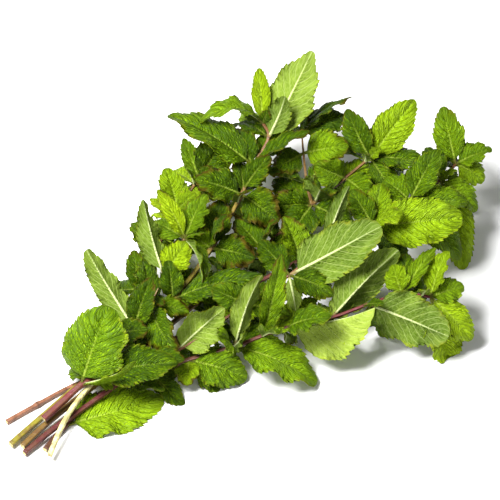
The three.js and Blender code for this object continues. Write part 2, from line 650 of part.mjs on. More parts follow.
const surface = new THREE.BoxGeometry(SURFACE_SIDE, SURFACE_SIDE, SURFACE_DEPTH)
  .translate(0, 0, -SURFACE_DEPTH / 2);
surface.deleteAttribute('normal');
surface.deleteAttribute('uv');
const below = mergeVertices(surface);
const ground = new wasm.Manifold(new wasm.Mesh({
  numProp: 3,
  vertProperties: below.attributes.position.array,
  triVerts: new Uint32Array(below.index.array),
}));

const group = new THREE.Group();
group.rotation.z = -HEADING;
for (const { name, wood, placed } of bunch) {
  const solid = outerBody(wasm.Manifold.union([...wood, ...placed]).subtract(ground));
  const { vertProperties, triVerts } = solid.getMesh();
  const geometry = new THREE.BufferGeometry()
    .setAttribute('position', new THREE.BufferAttribute(vertProperties, 3))
    .setIndex(new THREE.BufferAttribute(triVerts, 1));
  const mesh = new THREE.Mesh(geometry, new THREE.MeshStandardMaterial(
    { color: LEAF_COLOUR, roughness: 0.55, metalness: 0 }));
  mesh.name = name;
  group.add(mesh);
}

export default group;
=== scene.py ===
from itertools import count
from math import cos, exp, pi, radians, sin
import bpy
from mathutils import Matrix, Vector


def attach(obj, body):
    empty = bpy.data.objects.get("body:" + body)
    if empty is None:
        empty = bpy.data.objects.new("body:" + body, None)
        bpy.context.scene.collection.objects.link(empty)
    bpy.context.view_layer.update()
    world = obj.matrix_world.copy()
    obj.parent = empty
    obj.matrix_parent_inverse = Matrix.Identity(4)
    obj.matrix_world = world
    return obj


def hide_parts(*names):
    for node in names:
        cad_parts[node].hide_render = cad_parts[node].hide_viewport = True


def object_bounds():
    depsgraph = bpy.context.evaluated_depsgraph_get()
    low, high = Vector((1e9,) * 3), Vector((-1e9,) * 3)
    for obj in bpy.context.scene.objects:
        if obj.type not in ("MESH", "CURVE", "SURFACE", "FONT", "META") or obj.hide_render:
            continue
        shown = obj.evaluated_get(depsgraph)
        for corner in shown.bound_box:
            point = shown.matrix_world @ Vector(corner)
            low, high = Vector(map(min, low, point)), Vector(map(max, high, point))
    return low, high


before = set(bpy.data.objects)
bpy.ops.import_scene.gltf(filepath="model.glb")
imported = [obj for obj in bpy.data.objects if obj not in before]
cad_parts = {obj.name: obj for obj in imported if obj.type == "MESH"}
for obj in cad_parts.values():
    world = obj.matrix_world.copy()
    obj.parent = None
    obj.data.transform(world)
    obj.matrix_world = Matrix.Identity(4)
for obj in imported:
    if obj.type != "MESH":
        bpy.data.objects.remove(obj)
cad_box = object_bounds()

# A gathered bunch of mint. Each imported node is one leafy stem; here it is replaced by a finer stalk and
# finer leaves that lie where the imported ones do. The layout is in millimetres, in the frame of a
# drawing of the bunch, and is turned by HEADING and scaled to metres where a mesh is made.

from types import SimpleNamespace

import bpy
import numpy as np
from mathutils import Vector, kdtree

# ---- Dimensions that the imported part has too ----

TILT = radians(50)  # the drawing's viewing angle above the surface
HEADING = radians(40)  # the bunch's length, turned from the drawing's right
BLADE = 0.7  # thickness of a packed blade
LOWEST_BLADE = 0.5  # height of its middle where the leaf lies on the surface
LEAF_BREADTH = 0.6  # of an unnamed leaf's length
FORWARD_LEAN = 0.35  # of its upper face, towards the stem's tip
TUFT_SPREAD = 38  # degrees
UNNAMED_BEND = 0.08  # of its length
UNNAMED_FOLD = 12  # degrees
TEETH = 3  # on each side
FEWEST_TEETH = 2
MOST_TWIST = radians(28)  # from a blade's root to its tip
BELLY = 0.7  # below 1, a blade is widest nearer its petiole
POINTED = 0.62  # less makes a blade's ends blunter
PETIOLE_SHARE = 0.1  # of a leaf's length
TIP_SINK = 1.5  # below a stem's end, where its last leaves are rooted
TOOTH_DEPTH = 0.06  # of the half width
TOOTH_PEAK = 0.72  # where along a tooth its point stands
SQUARENESS = 0.86  # half a side of the square stem, of its radius
STEM_TAPER = 0.42  # the tip's radius, of the cut end's
TRIES = 60  # of a leaf that looks for room
WIDEST_SWING = radians(48)
MOST_SHRINKAGE = 0.3
SHOOTS_PER_STEM = 26  # draws for small leaves
SHOOT_TRIES = 110
LONGEST_AXIL = 36
SHORTEST_AXIL = 13
SMALL_LEAF = 22  # shorter ones have the fewest teeth
AXIL_RANGE = 0.15
NARROWEST_AXIL = 25  # degrees from the stem
WIDEST_AXIL = 95
SKYWARD = 0.3
AXIL_REACH = 0.2  # of the span between two nodes
LAST_AXIL = 0.97  # of the stem's length
FIRST_AXIL = 3  # the lowest node that bears one

# ---- The layout's words ----

RIGHT = np.array((1.0, 0.0, 0.0))
UP = np.array((0.0, sin(TILT), cos(TILT)))
NEAR = np.array((0.0, -cos(TILT), sin(TILT)))
SKY = np.array((0.0, 0.0, 1.0))


def offset(v):
    """From right, up and near on the drawing."""
    return RIGHT * v[0] + UP * v[1] + NEAR * v[2]


def place(at):
    """The point that shows at right and up on the drawing, at a height above the surface."""
    right, up, height = at
    return np.array((right, (up - height * cos(TILT)) / sin(TILT), height))


def stem(name, radius, *nodes):
    return {"name": name, "radius": radius, "nodes": nodes}


def node(at, *grown):
    return {"at": place(at), "grown": grown}


def shoot(radius, *nodes):
    return {"kind": "shoot", "radius": radius, "nodes": nodes}


def leaf(reach, width, facing, bend=0.06, fold=14, teeth=TEETH, pointed=POINTED):
    return {"kind": "leaf", "reach": offset(reach), "width": width, "facing": offset(facing),
            "bend": bend, "fold": fold, "teeth": teeth, "pointed": pointed}


def under(*given):
    """A leaf that fills a gap, so it takes its place after the others."""
    return {**leaf(*given), "late": True}


def pair(length, turn, spread=58):
    return {"kind": "pair", "length": length, "turn": turn, "spread": spread}


def tuft(length, turn):
    return {"kind": "tuft", "length": length, "turn": turn}


# ---- The layout: seven stems, each from its cut end to its tip ----

STEMS = [
  stem("pale_stem", 1.8,
    node([-21, -30, 6]),
    node([-13, -11, 9.8]),
    node([-4, 3, 11.8]),
    node([17, 28, 14.6]),
    node([28, 43, 21],
      leaf([-29, 47, 2], 18, [-0.3, 0.1, -1], 0.03, 20, 3, 0.5),
      leaf([10, 31, 8], 17, [-0.3, 0, 1], 0.1)),
    node([37, 58, 27],
      leaf([16, -30, 12], 22, [-0.2, -0.3, 1], 0.14),
      leaf([-4, 26, -8], 18, [0.3, 0, 1])),
    node([45, 75, 34],
      leaf([-12, 45, 5], 18, [-0.5, 0, -1], 0.06, 30),
      leaf([14, 20, -7], 18, [0, 0.2, 1])),
    node([58, 98, 42],
      leaf([-16, 29, 6], 11, [0.3, 0.2, 1], 0.1),
      leaf([-8, -36, 16], 17, [0.4, 0.2, 1], 0.12, 28),
      leaf([12, 27, -3], 16, [-0.3, 0, 1]),
      leaf([-22, 12, -8], 15, [0, 0.3, 1], 0.1),
      tuft(13, 20))),

  stem("purple_stem", 2.2,
    node([-25, -9, 10]),
    node([-14, 1, 13]),
    node([-3, 11, 16.5],
      leaf([16, 46, 4], 38, [-0.45, -0.1, 1], 0.05, 10, 6, 0.5),
      leaf([30, 15, 21], 10, [0.2, -1, 0.3], 0.05, 30, 4)),
    node([5, 17, 17.5],
      leaf([49, 8, 8], 26, [0, 0.35, 1], 0.07, 12, 5)),
    node([16, 40, 19],
      pair(28, 20)),
    node([30, 66, 22],
      leaf([-3, 24, -6], 13, [0, 0.2, 1], 0.08, 14, 3),
      leaf([6, 33, -8], 14, [0.2, 0.2, 1], 0.08, 14, 3)),
    node([38, 86, 27],
      under([4, 30, -22], 16, [0, 0.2, 1], 0.06),
      pair(26, 0)),
    node([53, 113, 35],
      leaf([-7, 26, 0], 18, [0.2, 0, 1], 0.1),
      leaf([14, 19, -4], 18, [0, 0, 1]),
      pair(24, 70)),
    node([66, 134, 42],
      leaf([14, 22, -8], 26, [0.3, 0, 1], 0.05),
      leaf([-9, 24, -9], 11, [0, 0.2, 1], 0.05, 14, 3),
      leaf([18, -14, 9], 17, [0.2, 0.4, 1]),
      leaf([-6, -22, -38], 20, [-0.4, 1, 0.3], 0.05),
      tuft(14, 50))),

  stem("olive_stem", 2.1,
    node([-44, -24, 3.2]),
    node([-27, -9, 4.8]),
    node([-4, 11, 7]),
    node([24, 34, 12],
      pair(26, 40)),
    node([50, 60, 23],
      leaf([54, 24, 17], 25, [-0.1, 0.5, 0.8], 0.08, 14, 5),
      leaf([-6, 24, 2], 15, [0.2, 0.2, 1], 0.08)),
    node([73, 91, 31],
      leaf([26, -6, 6], 22, [0, 0.4, 1], 0.1),
      leaf([-16, 12, 8], 17, [-0.2, 0.3, 1], 0.1),
      under([6, 29, -16], 19, [0, 0.2, 1], 0.06),
      pair(26, 80)),
    node([91, 123, 39],
      leaf([-28, 10, 4], 22, [0.2, 0.3, 1], 0.1),
      leaf([22, -16, 6], 24, [0, 0.3, 1], 0.1),
      leaf([8, -22, -36], 22, [-0.3, 1, 0.3], 0.05)),
    node([98, 140, 45],
      leaf([-51, 31, -2], 26, [0.1, 0.5, 0.8], 0.1, 14, 5, 0.45),
      leaf([34, 21, 4], 15, [-0.3, 0.9, 0.4], 0.06, 26),
      leaf([-26, 14, -9], 19, [0, 0.3, 1], 0.1),
      under([28, 15, -26], 17, [0, 0.2, 1], 0.06)),
    node([107, 157, 52],
      leaf([27, 52, -2], 31, [0.2, 0.1, -1], 0.03, 8, 6, 0.7),
      leaf([17, 26, 2], 15, [0.3, -0.3, -1], 0.08),
      leaf([-30, 4, -8], 17, [0.1, 0.4, 1], 0.15),
      under([-15, 25, -26], 16, [0, 0.2, 1], 0.06)),
    node([103, 167, 57],
      leaf([-37, 2, 11], 18, [0.1, 0.9, 0.5], 0.25),
      leaf([-2, 34, -12], 12, [0, 0.1, 1], 0.06, 16),
      tuft(12, 10))),

  stem("brown_stem", 2.0,
    node([-37, -25, 3.2]),
    node([-21, -10, 4.8]),
    node([-1, 6, 7]),
    node([30, 30, 12],
      pair(26, 10)),
    node([66, 60, 17],
      leaf([-14, 20, -10], 18, [0.2, 0.2, 1], 0.1),
      leaf([26, -8, 2], 18, [0, 0.3, 1], 0.1)),
    node([103, 90, 23],
      leaf([-16, 18, -6], 18, [0.3, 0.2, 1], 0.1),
      leaf([34, -2, 2], 20, [0, 0.3, 1], 0.1),
      pair(26, 80)),
    node([133, 117, 29],
      shoot(1.2,
        node([130, 130, 36],
          pair(24, 0)),
        node([128, 148, 41],
          leaf([27, 4, 10], 24, [0, 0.2, 1], 0.12),
          leaf([-18, -10, 6], 17, [0.2, 0.2, 1], 0.1)),
        node([127, 162, 44],
          leaf([31, 21, 2], 13, [-0.4, 0.7, 0.5], 0.1, 22),
          leaf([27, 13, -7], 22, [0, 0.3, 1], 0.08),
          leaf([24, -4, -4], 20, [0, 0.3, 1], 0.1),
          tuft(13, 30))),
      leaf([-14, -20, 12], 22, [0, 0.2, 1], 0.12),
      leaf([-28, -2, 9], 21, [0, 0.3, 1], 0.12),
      leaf([26, -10, 6], 22, [0, 0.3, 1], 0.1),
      under([-24, 16, -12], 20, [0.1, 0.2, 1], 0.06)),
    node([153, 133, 36],
      leaf([16, -14, 9], 20, [0.2, 0.2, 1], 0.12),
      leaf([-16, 14, 6], 20, [-0.2, 0.2, 1], 0.12),
      leaf([10, -18, -34], 22, [0, 1, 0.3], 0.05)),
    node([169, 146, 42],
      leaf([27, 35, -2], 23, [0.2, 0.3, 1], 0.05, 12, 5),
      leaf([-13, 30, -2], 18, [-0.1, 0.1, 1], 0.08),
      leaf([36, -3, 2], 19, [0, 0.6, 0.8], 0.08),
      leaf([28, 11, -8], 17, [0, 0.3, 1], 0.08, 14, 3),
      leaf([14, -22, -2], 17, [0, 0.3, 1], 0.1),
      under([20, -8, -18], 17, [0, 0.3, 1], 0.06),
      tuft(13, 70))),

  stem("dark_purple_stem", 1.8,
    node([-36, -29, 2.6]),
    node([-18, -14, 5]),
    node([4, 1, 7]),
    node([36, 25, 13.5],
      pair(26, 20)),
    node([78, 57, 21],
      leaf([-16, 18, 2], 17, [0.3, 0.2, 1], 0.1),
      leaf([30, -4, 2], 18, [0, 0.3, 1], 0.1)),
    node([126, 84, 31],
      leaf([24, -10, -6], 17, [0, 0.4, 0.9], 0.1),
      leaf([-10, 26, 4], 20, [0.2, 0.2, 1], 0.1),
      pair(26, 30)),
    node([169, 104, 44],
      leaf([53, 5, 4], 30, [0, 0.1, 1], 0.06, 8, 6, 0.45),
      leaf([-13, 22, -4], 16, [0, 0.2, 1], 0.08),
      leaf([5, 30, -8], 17, [0, 0.2, 1], 0.08),
      leaf([20, -20, -6], 20, [0, 0.3, 1], 0.1),
      pair(26, 60)),
    node([191, 119, 44],
      leaf([17, 31, 1], 19, [-0.4, 0, 1], 0.05, 12, 5),
      leaf([-14, 19, -4], 20, [0, 0.2, 1], 0.12),
      leaf([31, -34, -6], 22, [0, 0.3, 1], 0.1),
      leaf([36, -10, -8], 19, [0, 0.3, 1], 0.1)),
    node([210, 132, 41],
      leaf([22, -18, 2], 18, [0.2, 0.3, 1], 0.12),
      leaf([14, -54, -6], 24, [0.2, 0.2, 1], 0.06),
      leaf([8, -20, -38], 22, [0.3, 1, 0.3], 0.05),
      leaf([-8, 20, -6], 16, [0, 0.2, 1], 0.1)),
    node([220, 142, 38],
      leaf([-8, 35, -4], 19, [0, 0, 1], 0.05),
      leaf([22, 9, 0], 17, [0, 0.5, 0.8], 0.1),
      leaf([17, -10, 3], 16, [0.2, 0.5, 1], 0.1),
      tuft(13, 0))),

  stem("thin_stem", 1.5,
    node([-47, -11, 1.9]),
    node([-29, -1, 1.9]),
    node([-8, 10, 1.9]),
    node([22, 21, 4.4]),
    node([53, 31, 12.5],
      leaf([34, 17, 14], 28, [0, 0.5, -1], 0.05, -24, 5)),
    node([69, 41, 20],
      pair(24, 60)),
    node([94, 58, 31],
      leaf([-22, 14, 2], 17, [0.2, 0.2, 1], 0.1),
      leaf([26, -6, 0], 15, [0, 0.3, 1], 0.1)),
    node([119, 75, 42],
      leaf([54, 29, 8], 31, [0.1, -0.1, -1], 0.05, 10, 6, 0.45),
      leaf([26, -12, 0], 17, [0, 0.6, 0.8], 0.1),
      leaf([4, -21, 5], 11, [0.3, 0, -1], 0.05, 20, 3),
      leaf([-18, 20, -2], 18, [0.2, 0.2, 1], 0.1)),
    node([142, 94, 48],
      leaf([13, 35, 2], 12, [-0.3, 0, -1], 0.05, 16),
      leaf([-20, 12, -4], 17, [0.2, 0.2, 1], 0.1),
      tuft(14, 45))),

  stem("low_stem", 1.8,
    node([-24, -27, 1.5]),
    node([-12, -13, 1.5],
      leaf([58, 20, -17], 34, [0, 0.84, 1], 0.04, 8, 5, 0.5)),
    node([0, 1.5 * cos(TILT), 1.5]),
    node([18, 8, 3]),
    node([38, 17, 6],
      leaf([19, -20, 6], 14, [0.4, 0.2, 1], 0.05, 20, 3)),
    node([60, 25, 10],
      leaf([36, -6, 2], 24, [0, 0.4, 0.8], 0.08),
      leaf([20, -21, 0], 12, [-0.3, 0.2, 1], 0.05, 22, 3),
      under([3, -18, 4], 15, [0, 0.2, 1], 0.05)),
    node([87, 33, 16],
      leaf([49, -20, 4], 27, [0.3, 0.5, 1], 0.1, 14, 5, 0.5),
      leaf([17, 44, 20], 16, [-0.6, 0, -1], 0.06, 20)),
    node([103, 39, 21],
      leaf([4, 54, 14], 15, [0.2, 0.2, 1], 0.05, 18, 4),
      under([33, 22, -14], 16, [0, 0.2, 1], 0.06)),
    node([117, 44, 24],
      leaf([53, 10, 10], 46, [0, -0.76, -0.65], 0.04, 54, 6, 0.66)),
    node([144, 50, 28],
      leaf([39, 40, -8], 28, [-0.4, 0.3, -0.9], 0.04, 20, 5, 0.6),
      leaf([12, 14, -8], 14, [0, 0.3, -1], 0.06),
      under([38, -9, -22], 16, [0, 0.3, 1], 0.04)),
    node([166, 58, 34],
      leaf([47, -19, 4], 31, [0, 0.2, -1], 0.07, 10, 6, 0.42),
      leaf([12, -25, -14], 21, [-0.2, 0.3, 1], 0.06)),
    node([186, 64, 34],
      leaf([19, 28, -4], 11, [-0.3, 0, 1], 0.08),
      under([-12, -28, -20], 18, [0, 0.2, 1], 0.04),
      under([2, 26, -12], 15, [0, 0.2, 1], 0.06),
      leaf([-12, 18, -6], 16, [0, 0.3, 1], 0.08),
      pair(22, 40)),
    node([204, 62, 32],
      leaf([7, 30, 1], 16, [-0.5, 0, 1], 0.05, 18),
      leaf([10, -43, -14], 24, [0.2, 0.2, 1], 0.1, 14, 4, 0.5),
      leaf([23, -27, -6], 19, [0.2, 0.3, 1], 0.1),
      leaf([20, 7, -2], 16, [0, 0.4, 1], 0.1),
      leaf([25, -10, -4], 18, [0.3, 0.3, 1], 0.1),
      tuft(13, 30))),
]

# ---- Chance: the same numbers on every run ----

WORD = 0xFFFFFFFF


def dice(seed):
    """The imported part's own random numbers."""
    def roll():
        nonlocal seed
        seed = (seed + 0x6D2B79F5) & WORD
        mixed = ((seed ^ (seed >> 15)) * (1 | seed)) & WORD
        mixed = ((mixed + (mixed ^ (mixed >> 7)) * (61 | mixed)) & WORD) ^ mixed
        return (mixed ^ (mixed >> 14)) / 2 ** 32
    return roll


# ---- Vectors and routes ----

METRE = 1000  # millimetres
NUDGE = 1e-4  # of a route, on either side of where its direction is measured


def unit(v):
    return v / np.linalg.norm(v)


def turned(v, axis, angle):
    """v turned about a unit axis."""
    return v * cos(angle) + np.cross(axis, v) * sin(angle) + axis * np.dot(axis, v) * (1 - cos(angle))


def to_metres(points):
    """From the layout's millimetres to the part's own frame."""
    x, y, z = np.asarray(points).T
    along, aside = x * cos(HEADING) + y * sin(HEADING), y * cos(HEADING) - x * sin(HEADING)
    return np.stack((along, aside, z), 1) / METRE


def to_layout(points):
    """From the part's own frame to the layout's millimetres."""
    x, y, z = np.asarray(points).T * METRE
    return np.stack((x * cos(HEADING) - y * sin(HEADING), y * cos(HEADING) + x * sin(HEADING), z), 1)


class Route:
    """A smooth curve through a stem's nodes."""

    def __init__(self, nodes):
        at = np.array([one["at"] for one in nodes])
        self.through = np.vstack((2 * at[0] - at[1], at, 2 * at[-1] - at[-2]))
        self.spans = len(at) - 1

    def point(self, share):
        spans = np.clip(np.atleast_1d(share), 0, 1) * self.spans
        i = np.minimum(spans.astype(int), self.spans - 1)
        w = (spans - i)[:, None]
        a, b, c, d = (self.through[i + k] for k in range(4))
        at_b, at_c = (c - a) / 2, (d - b) / 2
        squared, cubed = 3 * (c - b) - 2 * at_b - at_c, 2 * (b - c) + at_b + at_c
        return b + at_b * w + squared * w ** 2 + cubed * w ** 3

    def ahead(self, share):
        step = self.point(np.atleast_1d(share) + NUDGE) - self.point(np.atleast_1d(share) - NUDGE)
        return step / np.linalg.norm(step, axis=1)[:, None]


# ---- Growth: what each stem bears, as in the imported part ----

def leaf_pair(base, ahead, one, teeth):
    """Two opposite leaves on a node."""
    side = unit(np.cross(ahead, SKY))
    over = np.cross(side, ahead)
    spread = radians(one.get("spread", TUFT_SPREAD))
    both = []
    for opposite in (0, 180):
        angle = radians(one["turn"] + opposite)
        out = side * cos(angle) + over * sin(angle)
        both.append({"base": base, "reach": (ahead * cos(spread) + out * sin(spread)) * one["length"],
                     "facing": SKY + ahead * FORWARD_LEAN, "width": one["length"] * LEAF_BREADTH,
                     "bend": UNNAMED_BEND, "fold": UNNAMED_FOLD, "teeth": teeth, "pointed": POINTED})
    return both


def grow(nodes, radius, leaves, wood):
    """Adds a stem's leaves to leaves, and the stem and its side shoots to wood."""
    wood.append((nodes, radius))
    route = Route(nodes)
    for index, here in enumerate(nodes):
        ahead = route.ahead(index / (len(nodes) - 1))[0]
        base = here["at"] - ahead * (TIP_SINK if index == len(nodes) - 1 else 0)
        for one in here["grown"]:
            if one["kind"] == "leaf":
                leaves.append({**one, "base": base})
            elif one["kind"] == "shoot":
                grow(({"at": here["at"], "grown": ()}, *one["nodes"]), one["radius"], leaves, wood)
            else:
                leaves += leaf_pair(base, ahead, one, TEETH if one["kind"] == "pair" else FEWEST_TEETH)


def swung(grown, attempt, roll):
    """The same leaf on one of the tries that looked for room among the other stems."""
    if attempt == 0:
        return grown
    share = attempt / TRIES
    axis = unit(np.array((roll() - 0.5, roll() - 0.5, roll() - 0.5)))
    angle = WIDEST_SWING * share * (0.5 + roll() / 2)
    reach = turned(grown["reach"], axis, angle) * (1 - MOST_SHRINKAGE * share * roll())
    twist = WIDEST_SWING * share * (roll() * 2 - 1)
    facing = turned(turned(grown["facing"], axis, angle), unit(reach), twist)
    return {**grown, "reach": reach, "facing": facing}


def sprouted(nodes, route, attempt, roll):
    """A leaf of a short shoot near one of the stem's nodes, smaller with each try."""
    spans = len(nodes) - 1
    start = FIRST_AXIL + int(roll() * (spans - FIRST_AXIL + 1))
    at = min((start + AXIL_REACH * (roll() * 2 - 1)) / spans, LAST_AXIL)
    length = LONGEST_AXIL + (SHORTEST_AXIL - LONGEST_AXIL) * attempt / SHOOT_TRIES
    length *= 1 + AXIL_RANGE * (roll() * 2 - 1)
    turn = 360 * roll()
    spread = NARROWEST_AXIL + (WIDEST_AXIL - NARROWEST_AXIL) * roll()
    grown = leaf_pair(route.point(at)[0], route.ahead(at)[0],
                      {"length": length, "turn": turn, "spread": spread},
                      FEWEST_TEETH if length < SMALL_LEAF else TEETH)[0]
    facing = grown["facing"] + offset((roll() - 0.5, roll() - 0.5, SKYWARD))
    return {**grown, "facing": facing, "twist": MOST_TWIST * (roll() * 2 - 1)}


def half_width(share, grown):
    return grown["width"] / 2 * np.sin(pi * np.clip(share, 0, 1) ** BELLY) ** grown["pointed"]


def blade_lines(grown, share):
    """The leaf's middle line at each share of its length, with the directions across it and over it."""
    reach = grown["reach"]
    length = np.linalg.norm(reach)
    ahead = reach / length
    upright = unit(grown["facing"] - ahead * np.dot(grown["facing"], ahead))
    angle = grown["twist"] * share
    over = np.cos(angle)[..., None] * upright + np.sin(angle)[..., None] * np.cross(ahead, upright)
    middle = (grown["base"] + share[..., None] * reach
              + (grown["bend"] * length * 4 * share * (1 - share))[..., None] * upright)
    return middle, np.cross(ahead, over), over


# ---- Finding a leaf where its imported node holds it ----

FOUND = 0.06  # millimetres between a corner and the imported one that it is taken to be
ENOUGH_FOUND = 0.3  # share of its corners


def packed_corners(grown):
    """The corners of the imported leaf's teeth and tip, on both faces."""
    teeth = grown["teeth"]
    peak = (np.arange(teeth) + TOOTH_PEAK) / teeth
    half = half_width(peak, grown) * (1 + TOOTH_DEPTH)
    share = PETIOLE_SHARE + (1 - PETIOLE_SHARE) * np.concatenate((peak, peak, (1.0,)))
    across = np.concatenate((half, -half, (0.0,)))[:, None]
    middle, side, over = blade_lines(grown, share)
    slope = radians(grown["fold"])
    point = middle + side * across * cos(slope) + over * np.abs(across) * sin(slope)
    point[:, 2] = np.maximum(point[:, 2], LOWEST_BLADE)
    return np.vstack((point + over * BLADE / 2, point - over * BLADE / 2))


def first_packed(tries, tree):
    """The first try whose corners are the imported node's own, or None where it found no room."""
    for tried in tries:
        if np.mean([tree.find(corner)[2] < FOUND for corner in packed_corners(tried)]) > ENOUGH_FOUND:
            return tried


def as_packed(sketched, own, tree):
    """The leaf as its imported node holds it."""
    roll = dice(own)
    grown = {**sketched, "twist": MOST_TWIST * (roll() * 2 - 1)}
    return first_packed((swung(grown, attempt, roll) for attempt in range(TRIES + 1)), tree)


def axil_leaf(nodes, own, tree):
    """The same for a leaf of a short shoot."""
    roll = dice(own)
    route = Route(nodes)
    tries = (sprouted(nodes, route, attempt, roll) for attempt in range(SHOOT_TRIES + 1))
    return first_packed(tries, tree)


def packed_tree(name):
    """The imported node's points, in the layout's millimetres, sorted for finding the nearest."""
    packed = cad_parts[name]
    vertices = packed.data.vertices
    flat = np.empty(len(vertices) * 3)
    vertices.foreach_get("co", flat)
    turn = np.array(packed.matrix_world)
    tree = kdtree.KDTree(len(vertices))
    for index, point in enumerate(to_layout(flat.reshape(-1, 3) @ turn[:3, :3].T + turn[:3, 3])):
        tree.insert(point, index)
    tree.balance()
    return tree


# ---- Meshes ----

EDGE = 0.00002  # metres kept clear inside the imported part's box


class Heap:
    """Quads gathered into one mesh, with their materials and their vertices' attributes."""

    def __init__(self):
        self.points, self.faces, self.kinds, self.facts = [], [], [], {}

    def add(self, points, faces, kinds, **facts):
        self.faces.append(faces + sum(map(len, self.points)))
        self.points.append(points)
        self.kinds.append(kinds)
        for name, values in facts.items():
            self.facts.setdefault(name, []).append(values)

    def piece(self, name, materials):
        points = to_metres(np.vstack(self.points))
        points = np.clip(points, np.array(cad_box[0]) + EDGE, np.array(cad_box[1]) - EDGE)
        mesh = bpy.data.meshes.new(name)
        mesh.from_pydata(points.tolist(), [], np.vstack(self.faces).tolist())
        for fact, values in self.facts.items():
            made = mesh.attributes.new(fact, "FLOAT_VECTOR", "POINT")
            made.data.foreach_set("vector", np.vstack(values).astype(np.float32).ravel())
        for material in materials:
            mesh.materials.append(material)
        mesh.polygons.foreach_set("material_index", np.concatenate(self.kinds).astype(np.int32))
        mesh.validate()
        mesh.shade_smooth()
        return in_scene(name, mesh)


def in_scene(name, data):
    made = bpy.data.objects.new(name, data)
    bpy.context.scene.collection.objects.link(made)
    return made


def grid(rows, columns, start=0, closed=False):
    """Quads between rows of points, as indices."""
    across = columns if closed else columns - 1
    r, c = np.meshgrid(np.arange(rows - 1), np.arange(across), indexing="ij")
    a = r * columns + c
    b = r * columns + (c + 1) % columns
    return np.stack((a, b, b + columns, a + columns), -1).reshape(-1, 4) + start


# ---- Fine leaves: millimetres, or shares of what each line names ----

COLUMNS = np.array((0, 0.08, 0.22, 0.39, 0.56, 0.73, 0.88, 1.0))  # from the midrib to the margin
FEW_COLUMNS = COLUMNS[[0, 1, 3, 5, 7]]
SMALL_BLADE = 17  # a shorter leaf has few columns and few veins
PETIOLE_ROWS = (-1.0, -0.7, -0.4, -0.15)  # of the petiole's length, below the blade's foot
TOOTH_ROWS = np.array((0.0, 0.45, TOOTH_PEAK, 0.88))  # of a tooth's length
TIP_ROWS, TIP_RISE = (0.995, 1.0), (0.2, 0.0)
TOOTH_SPACING = 3.3
FINE_TEETH = (5, 15)  # fewest and most on each side
FINE_TOOTH = 0.036  # of the half width
SHORTEST_TOOTH = 0.3
WIDE_ENOUGH = 3  # half width at which teeth are at their full depth
TOOTH_LENGTHS = (0.5, 1.35)  # range of each tooth's depth
TOOTH_MIDDLE = 0.45  # share of a tooth that is inside the smooth outline
TOOTH_LEAN = 0.5  # of a tooth's length, towards the leaf's tip
PETIOLE_HALF = 0.95
PETIOLE_TAPER = 0.25
TIP_SHARPNESS, TIP_SHARE = 9, 0.1  # how fast the blade closes at its tip, and to what
WAVER, WAVERS = 0.035, (1.5, 3.2)  # of the outline: how far, and how many along it
LEAST_HALF = 0.08
FOLD_ROUND = 0.9  # radius of the fold along the midrib
VEINS, FEW_VEINS = 8.5, 6
VEIN_LEAN, VEIN_BEND = 0.33, 1.1  # side veins run forward to the margin
VEIN_STAGGER = 0.175  # of the space between veins, from one half to the other
PUCKER, PUCKER_ROUND = 0.021, 0.8  # the pillows between veins: their height, of the width
FULL_PUCKER = 2  # from the midrib
MIDRIB_SINK, MIDRIB_SPREAD = 0.03, 0.045
SWELL = 0.03  # of each half
FOOT_FADE, TIP_FADE = 8, 6  # how fast the relief starts at the foot and ends at the tip
LIVELY, LIVELIER, SHORT_LEAF = (0.04, 0.1), 1.3, 30  # height of the margin's waves
WAVES, WAVE_REACH = (2.0, 3.6), 2.2
CURL, CURL_REACH = (-0.05, 0.14), 3
NOD = (-0.03, 0.07)  # of the tip, of the length
BLADE_THICKNESS = 0.42
EDGE_THINNING = 0.45
PETIOLE_THICKNESS = 1.3
RIB_DEPTH, RIB_HALF = 0.75, 0.75
RIB_START = -0.2
SOLE = 0.05  # least height of any point above the surface
LOWEST_MIDDLE = LOWEST_BLADE - 0.1
TOP, UNDERSIDE = 0, 1


def blade_rows(length):
    """Each row's share of the blade (below 0 on the petiole), its rise on a tooth, and how many teeth."""
    teeth = int(np.clip(round(length / TOOTH_SPACING), *FINE_TEETH))
    rise = np.minimum(TOOTH_ROWS / TOOTH_PEAK, (1 - TOOTH_ROWS) / (1 - TOOTH_PEAK))
    toothed = ((np.arange(teeth)[:, None] + TOOTH_ROWS) / teeth).ravel()
    b = np.concatenate((PETIOLE_ROWS, toothed, TIP_ROWS))
    return b, np.concatenate((np.zeros(len(PETIOLE_ROWS)), np.tile(rise, teeth), TIP_RISE)), teeth


def outline(grown, b, saw, teeth, chance):
    """The half width on either side: a smooth leaf with forward teeth, no two sides alike."""
    petiole = PETIOLE_HALF * (1 - PETIOLE_TAPER * np.clip(-b, 0, 1))
    smooth = np.maximum(half_width(b, grown), petiole * np.clip((1 - b) * TIP_SHARPNESS, TIP_SHARE, 1))
    waver = [1 + WAVER * np.sin(2 * pi * (b * chance.uniform(*WAVERS) + chance.random()))
             for _ in range(2)]
    depth = FINE_TOOTH * smooth + SHORTEST_TOOTH * np.clip(smooth / WIDE_ENOUGH, 0, 1)
    which = np.clip((b * teeth).astype(int), 0, teeth - 1)
    uneven = [chance.uniform(*TOOTH_LENGTHS, teeth)[which] for _ in range(2)]
    return [smooth * waver[k] + depth * uneven[k] * (saw - TOOTH_MIDDLE) * (b > 0) for k in range(2)]


